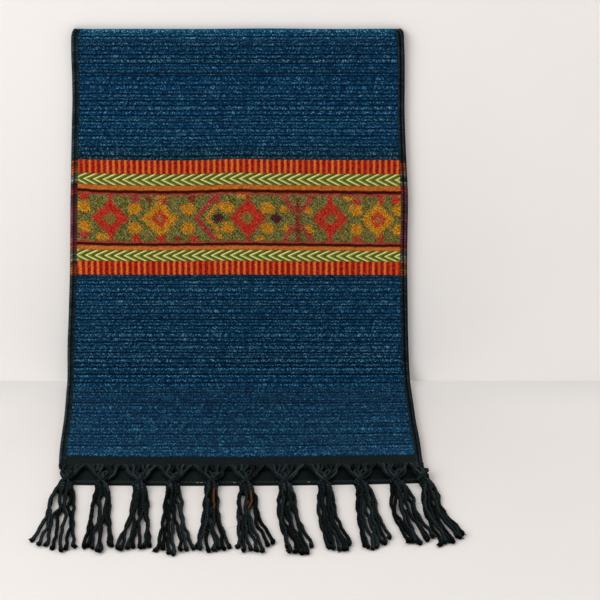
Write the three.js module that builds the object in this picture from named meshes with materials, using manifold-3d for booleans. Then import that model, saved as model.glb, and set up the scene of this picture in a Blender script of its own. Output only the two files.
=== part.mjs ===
// A woven muffler scarf, folded once over its middle. It hangs straight down in two layers, turns
// forward at its foot and lies flat on the ground, where the front layer ends in eleven knotted
// tassels and the back layer in a plain hem that shows a little further out.
//
// Millimetres. +X is to the right, +Z up, and the scarf faces -Y. The origin is the middle of the
// whole part's footprint, on the ground. A place on the cloth is given by x, by its distance along
// the cloth from the fold, and by its lift off the middle of the cloth towards its outer face.

import * as THREE from 'three';
import { mergeVertices } from 'three/addons/utils/BufferGeometryUtils.js';
import Module from 'manifold-3d';

const wasm = await Module();
wasm.setup();

// ---- driving dimensions ----

const CLOTH = 2.2;              // thickness of one layer
const LAYER_GAP = 0.5;          // air between the two layers
const SEAM = 0.3;               // gap between neighbouring pieces
const TOP_HEIGHT = 327.5;       // height of the fold above the ground
const FOLD_RADIUS = 4.0;        // outside of the fold at the top
const FOLD_SETTLE = 28;         // length in which the two layers close up below the fold
const BEND_RADIUS = 24;         // underside of the bend at the foot
const BORDER = 4.2;             // width of the rolled edge
const BORDER_RISE = 0.8;        // how far the rolled edge stands above the cloth
const END_RISE = { start: 300, corners: 3.2, right: 3.0 };   // the ends are cut slightly bowed
const RIB = { pitch: 3.15, depth: 0.5 };                     // cross ribs of the blue ground
const STRIPE = { pitch: 5.1, depth: 0.5 };                   // upright ribs of the orange stripes
const BRAID = { pitch: 8.4, depth: 0.6, lean: 0.9 };         // chevrons, lean in pitches
const BAND_SHIFT = 30.5;        // the back layer's band lies this much further from the fold

// Side edges of the cloth, by distance from the fold.
const FRONT_EDGES = [
  { along: 0, left: -137.2, right: 140.2 },
  { along: 28, left: -138.4, right: 141.4 },
  { along: 64, left: -138.8, right: 142.3 },
  { along: 109, left: -140.3, right: 143.2 },
  { along: 155, left: -142.6, right: 144.5 },
  { along: 220, left: -144.5, right: 145.6 },
  { along: 286, left: -147.8, right: 148.5 },
  { along: 336, left: -148.8, right: 150.2 },
  { along: 402, left: -147.3, right: 151.6 },
  { along: 468, left: -146.5, right: 153.6 },
  { along: 491.5, left: -146.0, right: 155.2 },
];
const BACK_EDGES = [
  { along: 0, left: -137.2, right: 140.2 },
  { along: 64, left: -138.0, right: 141.4 },
  { along: 155, left: -141.4, right: 143.6 },
  { along: 286, left: -146.4, right: 147.4 },
  { along: 340, left: -147.2, right: 149.0 },
  { along: 471, left: -144.6, right: 151.8 },
  { along: 519.5, left: -142.6, right: 152.4 },
];

// The two layers. side is the way the outer face looks in Y while the cloth hangs, and middle is
// the distance of the cloth's middle from the surface it lies on.
const LAYERS = {
  front: { side: -1, middle: 1.5 * CLOTH + LAYER_GAP, length: 491.5, edges: FRONT_EDGES },
  back: { side: 1, middle: CLOTH / 2, length: 519.5, edges: BACK_EDGES },
};

// Stretches of the weave on the front layer, with the distance from the fold where each one ends.
const STRETCHES = [
  { name: 'upper_panel', end: 118.3, weave: 'ribbed', colour: 0x14324a },
  { name: 'band_1_stripe', end: 130.6, weave: 'stripe', colour: 0xa23a18 },
  { name: 'band_2_braid', end: 141.7, weave: 'braid', colour: 0x86803c },
  { name: 'band_3_line', end: 149.4, weave: 'plain', colour: 0x8a4a18 },
  { name: 'band_4_motifs', end: 193.9, weave: 'plain', colour: 0x7e5024 },
  { name: 'band_5_line', end: 201.2, weave: 'plain', colour: 0x8a4a18 },
  { name: 'band_6_braid', end: 212.0, weave: 'braid', colour: 0x86803c },
  { name: 'band_7_stripe', end: 224.5, weave: 'stripe', colour: 0xa23a18 },
  { name: 'lower_panel', end: 470.3, weave: 'ribbed', colour: 0x14324a },
  { name: 'end_strip', end: LAYERS.front.length, weave: 'plain', colour: 0x171e1f },
];
const BACK_END_STRIP = 27;      // the back layer's black strip, along the cloth

// Tassels, from left to right: x and y of the knot, x of the bundle's left and right side at its
// waist and at its tips, and y of its left and right tip. y counts from the back of the hanging
// cloth.
const TASSELS = [
  { x: -139.9, y: -203.0, waist: [-152.5, -130.2], tips: [-162.4, -126.7], tipY: [-311, -317] },
  { x: -110.5, y: -205.5, waist: [-117.7, -101.1], tips: [-121.6, -96.2], tipY: [-316, -317] },
  { x: -79.7, y: -206.5, waist: [-85.7, -70.1], tips: [-95.4, -65.8], tipY: [-317, -317] },
  { x: -52.1, y: -206.0, waist: [-59.0, -42.4], tips: [-62.6, -32.0], tipY: [-321, -319] },
  { x: -20.1, y: -206.0, waist: [-26.7, -13.0], tips: [-31.0, -3.0], tipY: [-316, -315] },
  { x: 8.0, y: -206.0, waist: [1.0, 18.5], tips: [2.5, 32.6], tipY: [-322, -317] },
  { x: 40.3, y: -206.0, waist: [33.4, 50.4], tips: [41.0, 63.4], tipY: [-322, -321] },
  { x: 72.5, y: -205.0, waist: [66.0, 81.9], tips: [73.0, 94.4], tipY: [-316, -316] },
  { x: 101.9, y: -203.5, waist: [97.8, 115.4], tips: [102.0, 125.8], tipY: [-314, -308] },
  { x: 131.4, y: -201.5, waist: [125.5, 146.6], tips: [137.0, 160.4], tipY: [-307, -301] },
  { x: 153.9, y: -197.5, waist: [151.6, 167.4], tips: [164.4, 184.9], tipY: [-313, -293] },
];
const TASSEL = {
  strands: 8,
  strandRadius: 1.35,
  rootRadius: 1.4,
  roots: 4,
  knot: { halfWidth: 5.6, halfLength: 4.0, halfHeight: 2.8 },
  lowHeight: 1.7,               // axis of the strands that lie on the ground
  highHeight: 4.3,              // axis of the strands that lie on the others
  neckLength: 14,               // from the knot to where the strands have come down
  neckWidth: 0.82,              // width of the bundle there, as a share of its waist
  waistY: -250,
  hipShare: 0.55,               // place of the bend between waist and tips
  tipBow: 7,                    // the middle strands reach this much further
  wander: 0.7,                  // sideways wander of a strand
  smallestEdge: 0.12,           // slivers where cords cross inside the knot are smoothed away
};

// ---- small helpers ----

const smooth = (t) => THREE.MathUtils.smoothstep(t, 0, 1);
const lerp = THREE.MathUtils.lerp;

function edgeAt(table, side, along) {
  const next = Math.max(1, table.findIndex((row) => row.along >= along));
  const after = along > table.at(-1).along ? table.at(-1) : table[next];
  const before = table[table.indexOf(after) - 1];
  const t = (along - before.along) / (after.along - before.along);
  return lerp(before[side], after[side], t);
}

// A closed shell: points, and triangles between them.
class Shell {
  points = [];
  triangles = [];

  addPoint(point) {
    this.points.push(point.x, point.y, point.z);
    return this.points.length / 3 - 1;
  }

  triangle(a, b, c, flip) {
    this.triangles.push(...(flip ? [a, c, b] : [a, b, c]));
  }

  // Faces over a grid of point numbers.
  addGrid(rows, flip) {
    for (let r = 0; r + 1 < rows.length; r++) {
      for (let c = 0; c + 1 < rows[r].length; c++) {
        this.triangle(rows[r][c], rows[r][c + 1], rows[r + 1][c + 1], flip);
        this.triangle(rows[r][c], rows[r + 1][c + 1], rows[r + 1][c], flip);
      }
    }
  }

  // A strip between two lines of places that run side by side, each a point number and how far
  // along the strip it lies. The lines need not have the same number of places.
  stitch(lineA, lineB, flip) {
    let a = 0;
    let b = 0;
    while (a < lineA.length - 1 || b < lineB.length - 1) {
      const nextA = lineA[a + 1]?.at ?? Infinity;
      const nextB = lineB[b + 1]?.at ?? Infinity;
      if (nextA <= nextB) {
        this.triangle(lineA[a + 1].point, lineA[a].point, lineB[b].point, flip);
        a += 1;
      } else {
        this.triangle(lineA[a].point, lineB[b].point, lineB[b + 1].point, flip);
        b += 1;
      }
    }
  }

  geometry() {
    const geometry = new THREE.BufferGeometry();
    geometry.setAttribute('position', new THREE.Float32BufferAttribute(this.points, 3));
    geometry.setIndex(this.triangles);
    return geometry;
  }
}

// ---- the path of a layer of cloth ----

// Along the cloth: a quarter of the fold, the hanging wall, the bend at the foot, and the ground.
const FOLD_MIDDLE = FOLD_RADIUS - CLOTH / 2;
const FOLD_LENGTH = FOLD_MIDDLE * Math.PI / 2;
const WALL_LENGTH = TOP_HEIGHT - FOLD_RADIUS - BEND_RADIUS;
const BEND_START = FOLD_LENGTH + WALL_LENGTH;

// Middle of the cloth at a distance from the fold, with the direction its outer face looks in.
function pathAt(layer, along) {
  const centreY = -(CLOTH + LAYER_GAP / 2);
  if (along < FOLD_LENGTH) {
    const angle = along / FOLD_MIDDLE;
    return {
      y: centreY + layer.side * FOLD_MIDDLE * Math.sin(angle),
      z: TOP_HEIGHT - FOLD_RADIUS + FOLD_MIDDLE * Math.cos(angle),
      outY: layer.side * Math.sin(angle),
      outZ: Math.cos(angle),
    };
  }
  const drop = along - FOLD_LENGTH;
  if (drop < WALL_LENGTH) {
    const spread = lerp(FOLD_MIDDLE, (CLOTH + LAYER_GAP) / 2, smooth(drop / FOLD_SETTLE));
    return {
      y: centreY + layer.side * spread,
      z: TOP_HEIGHT - FOLD_RADIUS - drop,
      outY: layer.side,
      outZ: 0,
    };
  }
  const radius = BEND_RADIUS - layer.middle;
  const angle = Math.min((drop - WALL_LENGTH) / radius, Math.PI / 2);
  const run = Math.max(0, drop - WALL_LENGTH - radius * Math.PI / 2);
  if (run > 0) {
    return { y: -BEND_RADIUS - run, z: layer.middle, outY: 0, outZ: -layer.side };
  }
  return {
    y: -BEND_RADIUS + radius * Math.cos(angle),
    z: BEND_RADIUS - radius * Math.sin(angle),
    outY: layer.side * Math.cos(angle),
    outZ: -layer.side * Math.sin(angle),
  };
}

const bendEnd = (layer) => BEND_START + (BEND_RADIUS - layer.middle) * Math.PI / 2;

// The ends are bowed: towards the corners the cloth is a little shorter.
function shortening(layer, x, along) {
  const left = edgeAt(layer.edges, 'left', along);
  const right = edgeAt(layer.edges, 'right', along);
  const across = (x - left) / (right - left);
  const amount = END_RISE.corners * (2 * across - 1) ** 2 + END_RISE.right * across;
  return amount * smooth((along - END_RISE.start) / (layer.length - END_RISE.start));
}

function clothPoint(layer, x, along, lift) {
  const path = pathAt(layer, along - shortening(layer, x, along));
  return new THREE.Vector3(x, path.y + lift * path.outY, path.z + lift * path.outZ);
}

// Distances from the fold at which a plain face needs a row of points: close together where the
// cloth turns, and far apart where it is straight.
function plainRows(layer, from, to) {
  const straight = 45;
  const nearEnd = 1;
  const rows = [from, to];
  const addSteps = (start, end, count) => {
    for (let i = 0; i <= count; i++) {
      const along = lerp(start, end, i / count);
      if (along > from + nearEnd && along < to - nearEnd) rows.push(along);
    }
  };
  const settled = FOLD_LENGTH + FOLD_SETTLE;
  addSteps(0, FOLD_LENGTH, 3);
  addSteps(lerp(FOLD_LENGTH, settled, 0.25), settled, 3);
  addSteps(settled + straight, BEND_START - straight, 3);
  addSteps(BEND_START, bendEnd(layer) + END_RISE.corners, 8);
  addSteps(bendEnd(layer) + straight, layer.length, 3);
  return rows.sort((a, b) => a - b);
}

// ---- weaves: rows of places on a stretch's outer face ----

function columnsBetween(left, right, count) {
  return Array.from({ length: count + 1 }, (_, i) => lerp(left, right, i / count));
}

const panelLeft = (layer, along) => edgeAt(layer.edges, 'left', along) + BORDER + SEAM;
const panelRight = (layer, along) => edgeAt(layer.edges, 'right', along) - BORDER - SEAM;

function plainFace(layer, from, to, count) {
  return plainRows(layer, from, to).map((along) =>
    columnsBetween(panelLeft(layer, along), panelRight(layer, along), count)
      .map((x) => ({ x, along, lift: CLOTH / 2 })));
}

// Cross ribs, uneven in pitch and depth, that wander a little across the cloth. On the back layer
// they stop where the cloth comes down to the ground.
function ribbedFace(layer, from, to) {
  const columns = 4;
  const wander = 0.25;
  const ribsEnd = layer.side > 0 ? Math.min(to, bendEnd(layer) - BEND_RADIUS / 2) : to;
  const rows = [];
  const addRow = (along, depth, waver) => {
    const xs = columnsBetween(panelLeft(layer, along), panelRight(layer, along), columns);
    rows.push(xs.map((x, c) => ({
      x,
      along: along + waver * Math.sin(2.1 * c + along),
      lift: CLOTH / 2 - depth,
    })));
  };
  addRow(from, RIB.depth / 2, 0);
  let along = from + RIB.pitch / 2;
  for (let rib = 0; along < ribsEnd - RIB.pitch * 1.4; rib++) {
    const pitch = RIB.pitch * (1 + 0.26 * Math.sin(2.4 * rib) + 0.14 * Math.sin(5.1 * rib + 1));
    const depth = RIB.depth * (0.65 + 0.35 * Math.sin(1.7 * rib + 0.6 * Math.sin(3.3 * rib)));
    addRow(along, 0, wander);
    addRow(along + pitch / 2, depth, wander);
    along += pitch;
  }
  addRow(along, 0, 0);
  if (ribsEnd < to) {
    return rows.concat(plainFace(layer, ribsEnd, to, columns));
  }
  addRow(to, RIB.depth / 2, 0);
  return rows;
}

// Upright ribs: every second column of points lies in a groove.
function stripeFace(layer, from, to) {
  const count = 2 * Math.round((panelRight(layer, from) - panelLeft(layer, from)) / STRIPE.pitch);
  return [from, to].map((along) =>
    columnsBetween(panelLeft(layer, along), panelRight(layer, along), count)
      .map((x, c) => ({ x, along, lift: CLOTH / 2 - (c % 2 ? 0 : STRIPE.depth) })));
}

// Chevrons: the middle row of points is shifted towards the left, so each ridge is an arrow. The
// shift grows over the first few columns, because the sides of the cloth stay where they are.
function braidFace(layer, from, to) {
  const easing = 4;
  const count = 2 * Math.round((panelRight(layer, from) - panelLeft(layer, from)) / BRAID.pitch);
  return [from, (from + to) / 2, to].map((along, row) =>
    columnsBetween(panelLeft(layer, along), panelRight(layer, along), count)
      .map((x, c) => {
        const ease = Math.min(1, c / easing, (count - c) / easing);
        const lean = row === 1 ? BRAID.lean * BRAID.pitch * ease : 0;
        return { x: x - lean, along, lift: CLOTH / 2 - (c % 2 ? 0 : BRAID.depth) };
      }));
}

const WEAVES = {
  plain: (layer, from, to) => plainFace(layer, from, to, 4),
  ribbed: ribbedFace,
  stripe: stripeFace,
  braid: braidFace,
};

// ---- pieces ----

// A wall of cloth: a woven outer face, a plain inner face, and the four edges between them.
function clothWall(layer, from, to, weave) {
  const shell = new Shell();
  const place = (rows) => rows.map((row) => row.map((spot) => {
    const { x, along, lift } = spot;
    return { ...spot, point: shell.addPoint(clothPoint(layer, x, along, lift)) };
  }));
  const outer = place(WEAVES[weave](layer, from, to));
  const inner = place(plainFace(layer, from, to, 3)
    .map((row) => row.map((spot) => ({ ...spot, lift: -CLOTH / 2 }))));
  const flip = layer.side < 0;
  const numbers = (rows) => rows.map((row) => row.map(({ point }) => point));
  const end = (rows, r) => rows.at(r).map(({ point, x }) => ({ point, at: x }));
  const side = (rows, c) => rows.map((row) => ({ point: row.at(c).point, at: row.at(c).along }));
  shell.addGrid(numbers(outer), flip);
  shell.addGrid(numbers(inner), !flip);
  shell.stitch(end(outer, 0), end(inner, 0), flip);
  shell.stitch(end(outer, -1), end(inner, -1), !flip);
  shell.stitch(side(outer, 0), side(inner, 0), !flip);
  shell.stitch(side(outer, -1), side(inner, -1), flip);
  return shell.geometry();
}

// A rolled edge: a half-round bead along one side of a layer, flat towards the other layer. Where
// the back layer lies on the ground its bead is pressed flat.
function borderBead(layer, side) {
  const steps = 5;
  const bevel = 0.5;
  const pressLength = 20;
  const inwards = side === 'left' ? 1 : -1;
  const shell = new Shell();
  const sections = plainRows(layer, SEAM / 2, layer.length).map((along) => {
    const pressed = layer.side > 0 ? smooth((along - BEND_START) / pressLength) : 0;
    const top = CLOTH / 2 + BORDER_RISE * (1 - pressed);
    const bottom = -CLOTH / 2;
    const edge = edgeAt(layer.edges, side, along);
    const ring = [];
    const addPlace = (inset, lift) => {
      ring.push(shell.addPoint(clothPoint(layer, edge + inwards * inset, along, lift)));
    };
    for (let i = 0; i <= steps; i++) {
      const angle = Math.PI * i / steps;
      const swell = Math.abs(Math.sin(angle)) ** lerp(0.6, 0.25, pressed);
      const rise = i === 0 || i === steps ? 0 : swell;
      addPlace(BORDER / 2 * (1 - Math.cos(angle)), lerp(bottom + bevel, top, rise));
    }
    addPlace(BORDER - bevel, bottom);
    addPlace(bevel, bottom);
    return ring;
  });
  const flip = (layer.side < 0) === (side === 'left');
  shell.addGrid(sections.map((ring) => [...ring, ring[0]]), flip);
  for (const [ring, turned] of [[sections[0], !flip], [sections.at(-1), flip]]) {
    for (let i = 1; i + 1 < ring.length; i++) {
      shell.triangle(ring[0], ring[i], ring[i + 1], turned);
    }
  }
  return shell.geometry();
}

// ---- fringe ----

function toSolid(geometry) {
  const bare = geometry.clone();
  bare.deleteAttribute('normal');
  bare.deleteAttribute('uv');
  const merged = mergeVertices(bare, 1e-4);
  return new wasm.Manifold(new wasm.Mesh({
    numProp: 3,
    vertProperties: new Float32Array(merged.attributes.position.array),
    triVerts: new Uint32Array(merged.index.array),
  }));
}

function fromSolid(solid) {
  const mesh = solid.getMesh();
  const geometry = new THREE.BufferGeometry();
  geometry.setAttribute('position', new THREE.BufferAttribute(mesh.vertProperties, 3));
  geometry.setIndex(new THREE.BufferAttribute(mesh.triVerts, 1));
  return geometry;
}

// A three-sided strand through a list of points, turned about its own axis, with closed ends.
function strand(points, radius, turn) {
  const shell = new Shell();
  const rings = points.map((point, i) => {
    const before = points[Math.max(0, i - 1)];
    const after = points[Math.min(points.length - 1, i + 1)];
    const heading = new THREE.Vector3().subVectors(after, before).normalize();
    const aside = new THREE.Vector3().crossVectors(heading, new THREE.Vector3(0, 0, 1)).normalize();
    const up = new THREE.Vector3().crossVectors(aside, heading);
    return [90, 210, 330].map((degrees) => {
      const angle = THREE.MathUtils.degToRad(degrees + turn);
      return shell.addPoint(point.clone()
        .addScaledVector(aside, radius * Math.cos(angle))
        .addScaledVector(up, radius * Math.sin(angle)));
    });
  });
  shell.addGrid(rings.map((ring) => [...ring, ring[0]]), true);
  const [first, last] = [rings[0], rings.at(-1)];
  shell.triangle(first[0], first[1], first[2], false);
  shell.triangle(last[0], last[2], last[1], false);
  return shell.geometry();
}

const knotHeight = () => CLOTH + SEAM + TASSEL.knot.halfHeight;

// Root cords fan out from the knot to the hem of the front layer, over half the way to the
// neighbouring knots.
function rootCords(tassel, index) {
  const layer = LAYERS.front;
  const end = layer.length;
  const limitLeft = edgeAt(layer.edges, 'left', end) + TASSEL.rootRadius;
  const limitRight = edgeAt(layer.edges, 'right', end) - TASSEL.rootRadius;
  const before = TASSELS[index - 1];
  const after = TASSELS[index + 1];
  const clearance = TASSEL.rootRadius + SEAM;
  const left = before ? (before.x + tassel.x) / 2 + clearance : limitLeft;
  const right = after ? (after.x + tassel.x) / 2 - clearance : limitRight;
  const knot = new THREE.Vector3(tassel.x, tassel.y, knotHeight());
  return Array.from({ length: TASSEL.roots }, (_, i) => {
    const share = i / (TASSEL.roots - 1);
    const x = THREE.MathUtils.clamp(lerp(left, right, share), limitLeft, limitRight);
    const start = clothPoint(layer, x, end, 0);
    start.y -= SEAM + TASSEL.rootRadius / 2;
    return strand([start, knot], TASSEL.rootRadius, 40 * share + index);
  });
}

// Strands leave the knot in two storeys, go over the back layer's hem and come down to the ground.
// Low and high strands take turns from side to side, so that none touches the next.
function looseStrands(tassel) {
  const { strands, strandRadius, lowHeight, highHeight, neckLength, waistY, knot } = TASSEL;
  return Array.from({ length: strands }, (_, i) => {
    const share = i / (strands - 1);
    const high = i % 2 === 1;
    const height = high ? highHeight : lowHeight;
    const wander = (step) => TASSEL.wander * Math.sin(2.3 * i + 1.9 * step + tassel.x);
    const sidewards = ([left, right]) => lerp(left + strandRadius, right - strandRadius, share);
    const waist = sidewards(tassel.waist);
    const tip = sidewards(tassel.tips);
    const bow = 4 * TASSEL.tipBow * share * (1 - share);
    const tipY = lerp(...tassel.tipY, share) - bow + 2 * wander(4);
    const tipHeight = lerp(height, lowHeight, 0.8);
    const hip = TASSEL.hipShare;
    const route = [
      new THREE.Vector3(
        tassel.x + knot.halfWidth * (share - 0.5),
        tassel.y + wander(0),
        knotHeight() + (high ? 0.8 : -0.4),
      ),
      new THREE.Vector3(
        lerp(tassel.x, waist, TASSEL.neckWidth),
        tassel.y - neckLength,
        (high ? highHeight : lowHeight) + 1.1 + 0.3 * wander(3),
      ),
      new THREE.Vector3(waist + wander(1), waistY, height),
      new THREE.Vector3(
        lerp(waist, tip, 0.8 * hip) + wander(2),
        lerp(waistY, tipY, hip),
        lerp(height, tipHeight, hip / 2),
      ),
      new THREE.Vector3(tip, tipY, tipHeight),
    ];
    return strand(route, strandRadius, 23 * i);
  });
}

function tasselGeometry(tassel, index) {
  const { halfWidth, halfLength, halfHeight } = TASSEL.knot;
  const knot = new THREE.SphereGeometry(1, 7, 4)
    .scale(halfWidth, halfLength, halfHeight)
    .translate(tassel.x, tassel.y, knotHeight());
  let solid = toSolid(knot);
  for (const cord of [...rootCords(tassel, index), ...looseStrands(tassel)]) {
    solid = solid.add(toSolid(cord));
  }
  return fromSolid(solid.simplify(TASSEL.smallestEdge));
}

// ---- the scarf ----

const scarf = new THREE.Group();

function addPiece(name, geometry, colour, roughness) {
  const material = new THREE.MeshStandardMaterial({ color: colour, roughness, metalness: 0 });
  const mesh = new THREE.Mesh(geometry, material);
  mesh.name = name;
  scarf.add(mesh);
}

// Where the stretches begin and end on one layer.
function stretchesOf(layer) {
  const shift = layer === LAYERS.back ? BAND_SHIFT : 0;
  const panelEnd = layer === LAYERS.back ? layer.length - BACK_END_STRIP : STRETCHES.at(-2).end;
  return STRETCHES.map((stretch, i) => {
    const start = i === 0 ? 0 : STRETCHES[i - 1].end + shift;
    const end = stretch.end + shift;
    if (stretch.name === 'lower_panel') return { ...stretch, start, end: panelEnd };
    if (stretch.name === 'end_strip') return { ...stretch, start: panelEnd, end: layer.length + SEAM / 2 };
    return { ...stretch, start, end };
  });
}

for (const [layerName, layer] of Object.entries(LAYERS)) {
  for (const { name, start, end, weave, colour } of stretchesOf(layer)) {
    const wall = clothWall(layer, start + SEAM / 2, end - SEAM / 2, weave);
    addPiece(`${layerName}_${name}`, wall, colour, 0.95);
  }
  for (const side of ['left', 'right']) {
    addPiece(`${layerName}_border_${side}`, borderBead(layer, side), 0x1a2224, 0.95);
  }
}

TASSELS.forEach((tassel, index) => {
  const name = `tassel_${String(index + 1).padStart(2, '0')}`;
  addPiece(name, tasselGeometry(tassel, index), 0x14191a, 0.9);
});

// The origin is the middle of the footprint.
const footprint = new THREE.Box3().setFromObject(scarf);
const middle = footprint.getCenter(new THREE.Vector3());
scarf.position.set(-middle.x, -middle.y, -footprint.min.z);

export default scarf;
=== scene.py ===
"""A woven muffler scarf, folded once over its middle. It hangs in two layers against a wall, turns
forward at its foot and lies on the ground, where the front layer ends in knotted tassels.

Sizes are millimetres in the scarf's own frame: x to the right, y = 0 at the back of the hanging
cloth, z = 0 on the ground. A place on the cloth is given by x, by its distance along the cloth from
the fold, and by its lift off the middle of the cloth towards its outer face.
"""

import math

import bpy
import numpy as np
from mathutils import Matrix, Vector


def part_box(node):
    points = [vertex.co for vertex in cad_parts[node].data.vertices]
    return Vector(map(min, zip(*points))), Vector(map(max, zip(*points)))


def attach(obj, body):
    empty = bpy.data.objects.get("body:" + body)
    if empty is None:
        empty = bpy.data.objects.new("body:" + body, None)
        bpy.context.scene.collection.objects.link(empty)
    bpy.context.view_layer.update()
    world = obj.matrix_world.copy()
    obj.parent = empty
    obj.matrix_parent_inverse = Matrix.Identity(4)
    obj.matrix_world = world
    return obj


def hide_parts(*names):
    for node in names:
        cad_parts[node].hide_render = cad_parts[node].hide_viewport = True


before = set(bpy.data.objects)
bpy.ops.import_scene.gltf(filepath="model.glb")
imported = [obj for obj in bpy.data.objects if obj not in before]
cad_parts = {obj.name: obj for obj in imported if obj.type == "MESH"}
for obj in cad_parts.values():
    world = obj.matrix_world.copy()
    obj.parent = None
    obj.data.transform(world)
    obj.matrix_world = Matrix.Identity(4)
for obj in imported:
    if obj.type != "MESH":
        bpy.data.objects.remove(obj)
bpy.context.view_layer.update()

# ---- driving dimensions, as in the part's source ----

CLOTH = 2.2
LAYER_GAP = 0.5
SEAM = 0.3
TOP_HEIGHT = 327.5
FOLD_RADIUS = 4.0
FOLD_SETTLE = 28.0
BEND_RADIUS = 24.0
BORDER = 4.2
END_RISE = {"start": 300.0, "corners": 3.2, "right": 3.0}
BAND_SHIFT = 30.5
BACK_END_STRIP = 27.0

# Side edges of the cloth: distance from the fold, left x, right x.
FRONT_EDGES = np.array([
    (0, -137.2, 140.2), (28, -138.4, 141.4), (64, -138.8, 142.3), (109, -140.3, 143.2),
    (155, -142.6, 144.5), (220, -144.5, 145.6), (286, -147.8, 148.5), (336, -148.8, 150.2),
    (402, -147.3, 151.6), (468, -146.5, 153.6), (491.5, -146.0, 155.2),
])
BACK_EDGES = np.array([
    (0, -137.2, 140.2), (64, -138.0, 141.4), (155, -141.4, 143.6), (286, -146.4, 147.4),
    (340, -147.2, 149.0), (471, -144.6, 151.8), (519.5, -142.6, 152.4),
])
FRONT = {"name": "front", "side": -1, "middle": 1.5 * CLOTH + LAYER_GAP, "length": 491.5,
         "edges": FRONT_EDGES, "shift": 0.0}
BACK = {"name": "back", "side": 1, "middle": CLOTH / 2, "length": 519.5,
        "edges": BACK_EDGES, "shift": BAND_SHIFT}

# Ends of the stretches of the weave on the front layer, by distance from the fold.
UPPER_PANEL_END = 118.3
BAND_ENDS = {"band_1_stripe": 130.6, "band_2_braid": 141.7, "band_3_line": 149.4,
             "band_4_motifs": 193.9, "band_5_line": 201.2, "band_6_braid": 212.0,
             "band_7_stripe": 224.5}
LOWER_PANEL_END = 470.3

FOLD_MIDDLE = FOLD_RADIUS - CLOTH / 2
FOLD_LENGTH = FOLD_MIDDLE * math.pi / 2
WALL_LENGTH = TOP_HEIGHT - FOLD_RADIUS - BEND_RADIUS
BEND_START = FOLD_LENGTH + WALL_LENGTH

# How far the side edges stray from those tables: a steady amount, and bell curves of their
# distance from the fold, reach and height.
EDGE_SWAYS = {
    "left": (-0.2, ((10, 24, -1.0), (105, 28, -0.5), (302, 20, -0.5), (458, 55, -1.6))),
    "right": (-0.9, ((75, 30, -0.8), (155, 32, 0.95), (290, 50, -1.4), (455, 45, 1.5))),
}
CORNER = {"inset": 2.4, "length": 8.0}   # the rolled edges round off at the fold
FOLD_PRESS = {"depth": 0.8, "length": 9.0}   # the fold is pressed a little flatter than a circle

# Where the weft rows stray along the cloth: x and reach, distance from the fold and reach, and
# how far.
ROW_SWAYS = ((-141, 18, 165, 38, -2.2), (-58, 36, 145, 60, 0.8), (-3, 22, 140, 55, -0.85),
             (130, 70, 175, 38, 1.9))

# Deep grooves of the blue ground: distance from the fold, how far apart the grooves are there,
# and by what share of that they stray.
DEEP_GROOVES = np.array([(0, 5.7, 0.65), (230, 7.0, 0.5), (315, 7.0, 0.5), (345, 21.4, 0.06),
                         (480, 21.4, 0.06)])

# How strongly the blue was dyed, with painted light in it: distance from the fold, red,
# green, blue. The rows up to 10 mm from the fold are a painted highlight on the top of the
# fold, and the lighter rows from 224 to 300 mm are painted light that lifts the lower hanging
# stretch, which the lamps light less.
DYE_AND_PAINTED_LIGHT = np.array([
    (0, 3.2, 2.9, 2.5), (4, 2.6, 2.3, 2.0), (10, 1.05, 1.14, 1.2), (60, 0.95, 1.16, 1.26),
    (102, 0.95, 1.18, 1.28), (108, 0.9, 0.95, 0.9), (118, 1.1, 0.84, 0.66), (224, 1.2, 1.1, 1.0),
    (234, 1.6, 1.48, 1.46), (300, 1.6, 1.5, 1.48), (340, 0.66, 1.22, 1.34), (480, 0.66, 1.22, 1.34),
])

METRE = 1000.0   # in millimetres

# From the scarf's own frame to the shared one: the lower left corner of the upper panel and the
# back of the hanging cloth are looked up on the solids.
PANEL_LEFT = float(np.interp(UPPER_PANEL_END - SEAM / 2, FRONT_EDGES[:, 0], FRONT_EDGES[:, 1]))
SHIFT_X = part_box("front_upper_panel")[0][0] * METRE - (PANEL_LEFT + BORDER + SEAM)
SHIFT_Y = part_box("back_band_4_motifs")[1][1] * METRE

rng = np.random.default_rng(7)


# ---- helpers ----

def lerp(a, b, t):
    """From a to b by the share t."""
    return a + (b - a) * t


def smooth(t):
    """Nought to one, level at both ends: 3 t^2 - 2 t^3."""
    t = np.clip(t, 0, 1)
    return t * t * (3 - 2 * t)


def bell(t):
    """One in the middle, nought far off: e to the power of minus t squared."""
    return np.exp(-t * t)


def to_frame(points):
    """Scarf millimetres to metres in the shared frame: a shift, then a thousandth."""
    return (np.asarray(points, float) + (SHIFT_X, SHIFT_Y, 0.0)) / METRE


def strayed(values, amount):
    """Values moved at random by up to half the amount either way."""
    return values + amount * (rng.random(values.shape) - 0.5)


def linear(*srgb):
    """A colour given by its 0 to 255 screen values, as light, by the screens' usual curve."""
    c = np.array(srgb, float) / 255
    return np.where(c <= 0.04045, c / 12.92, ((c + 0.055) / 1.055) ** 2.4)


def grid_faces(rows, columns, closed=False):
    """Quads between neighbouring rows and columns of a grid; closed joins the last column to
    the first."""
    last = columns if closed else columns - 1
    r, c = np.meshgrid(np.arange(rows - 1), np.arange(last), indexing="ij")
    r, c = r.ravel(), c.ravel()
    d = (c + 1) % columns
    return np.stack([r * columns + c, r * columns + d, (r + 1) * columns + d, (r + 1) * columns + c], 1)


def tube_faces(rows, sides):
    """Faces of a closed tube whose points are its rings in turn and then the middles of its two
    ends: quads between the rings, and a fan of triangles at either end."""
    ring = np.arange(sides)
    following = np.roll(ring, -1)
    far = (rows - 1) * sides
    near_end = np.stack([np.full(sides, rows * sides), following, ring], 1)
    far_end = np.stack([np.full(sides, rows * sides + 1), ring + far, following + far], 1)
    return grid_faces(rows, sides, closed=True), np.concatenate([near_end, far_end])


def with_ends(values):
    """Values at the points of a tube: those of its rings, and for the middles of its two ends
    those of the first point of the first and of the last ring."""
    return np.concatenate([values.reshape(-1, values.shape[-1]), values[[0, -1], 0]])


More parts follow.
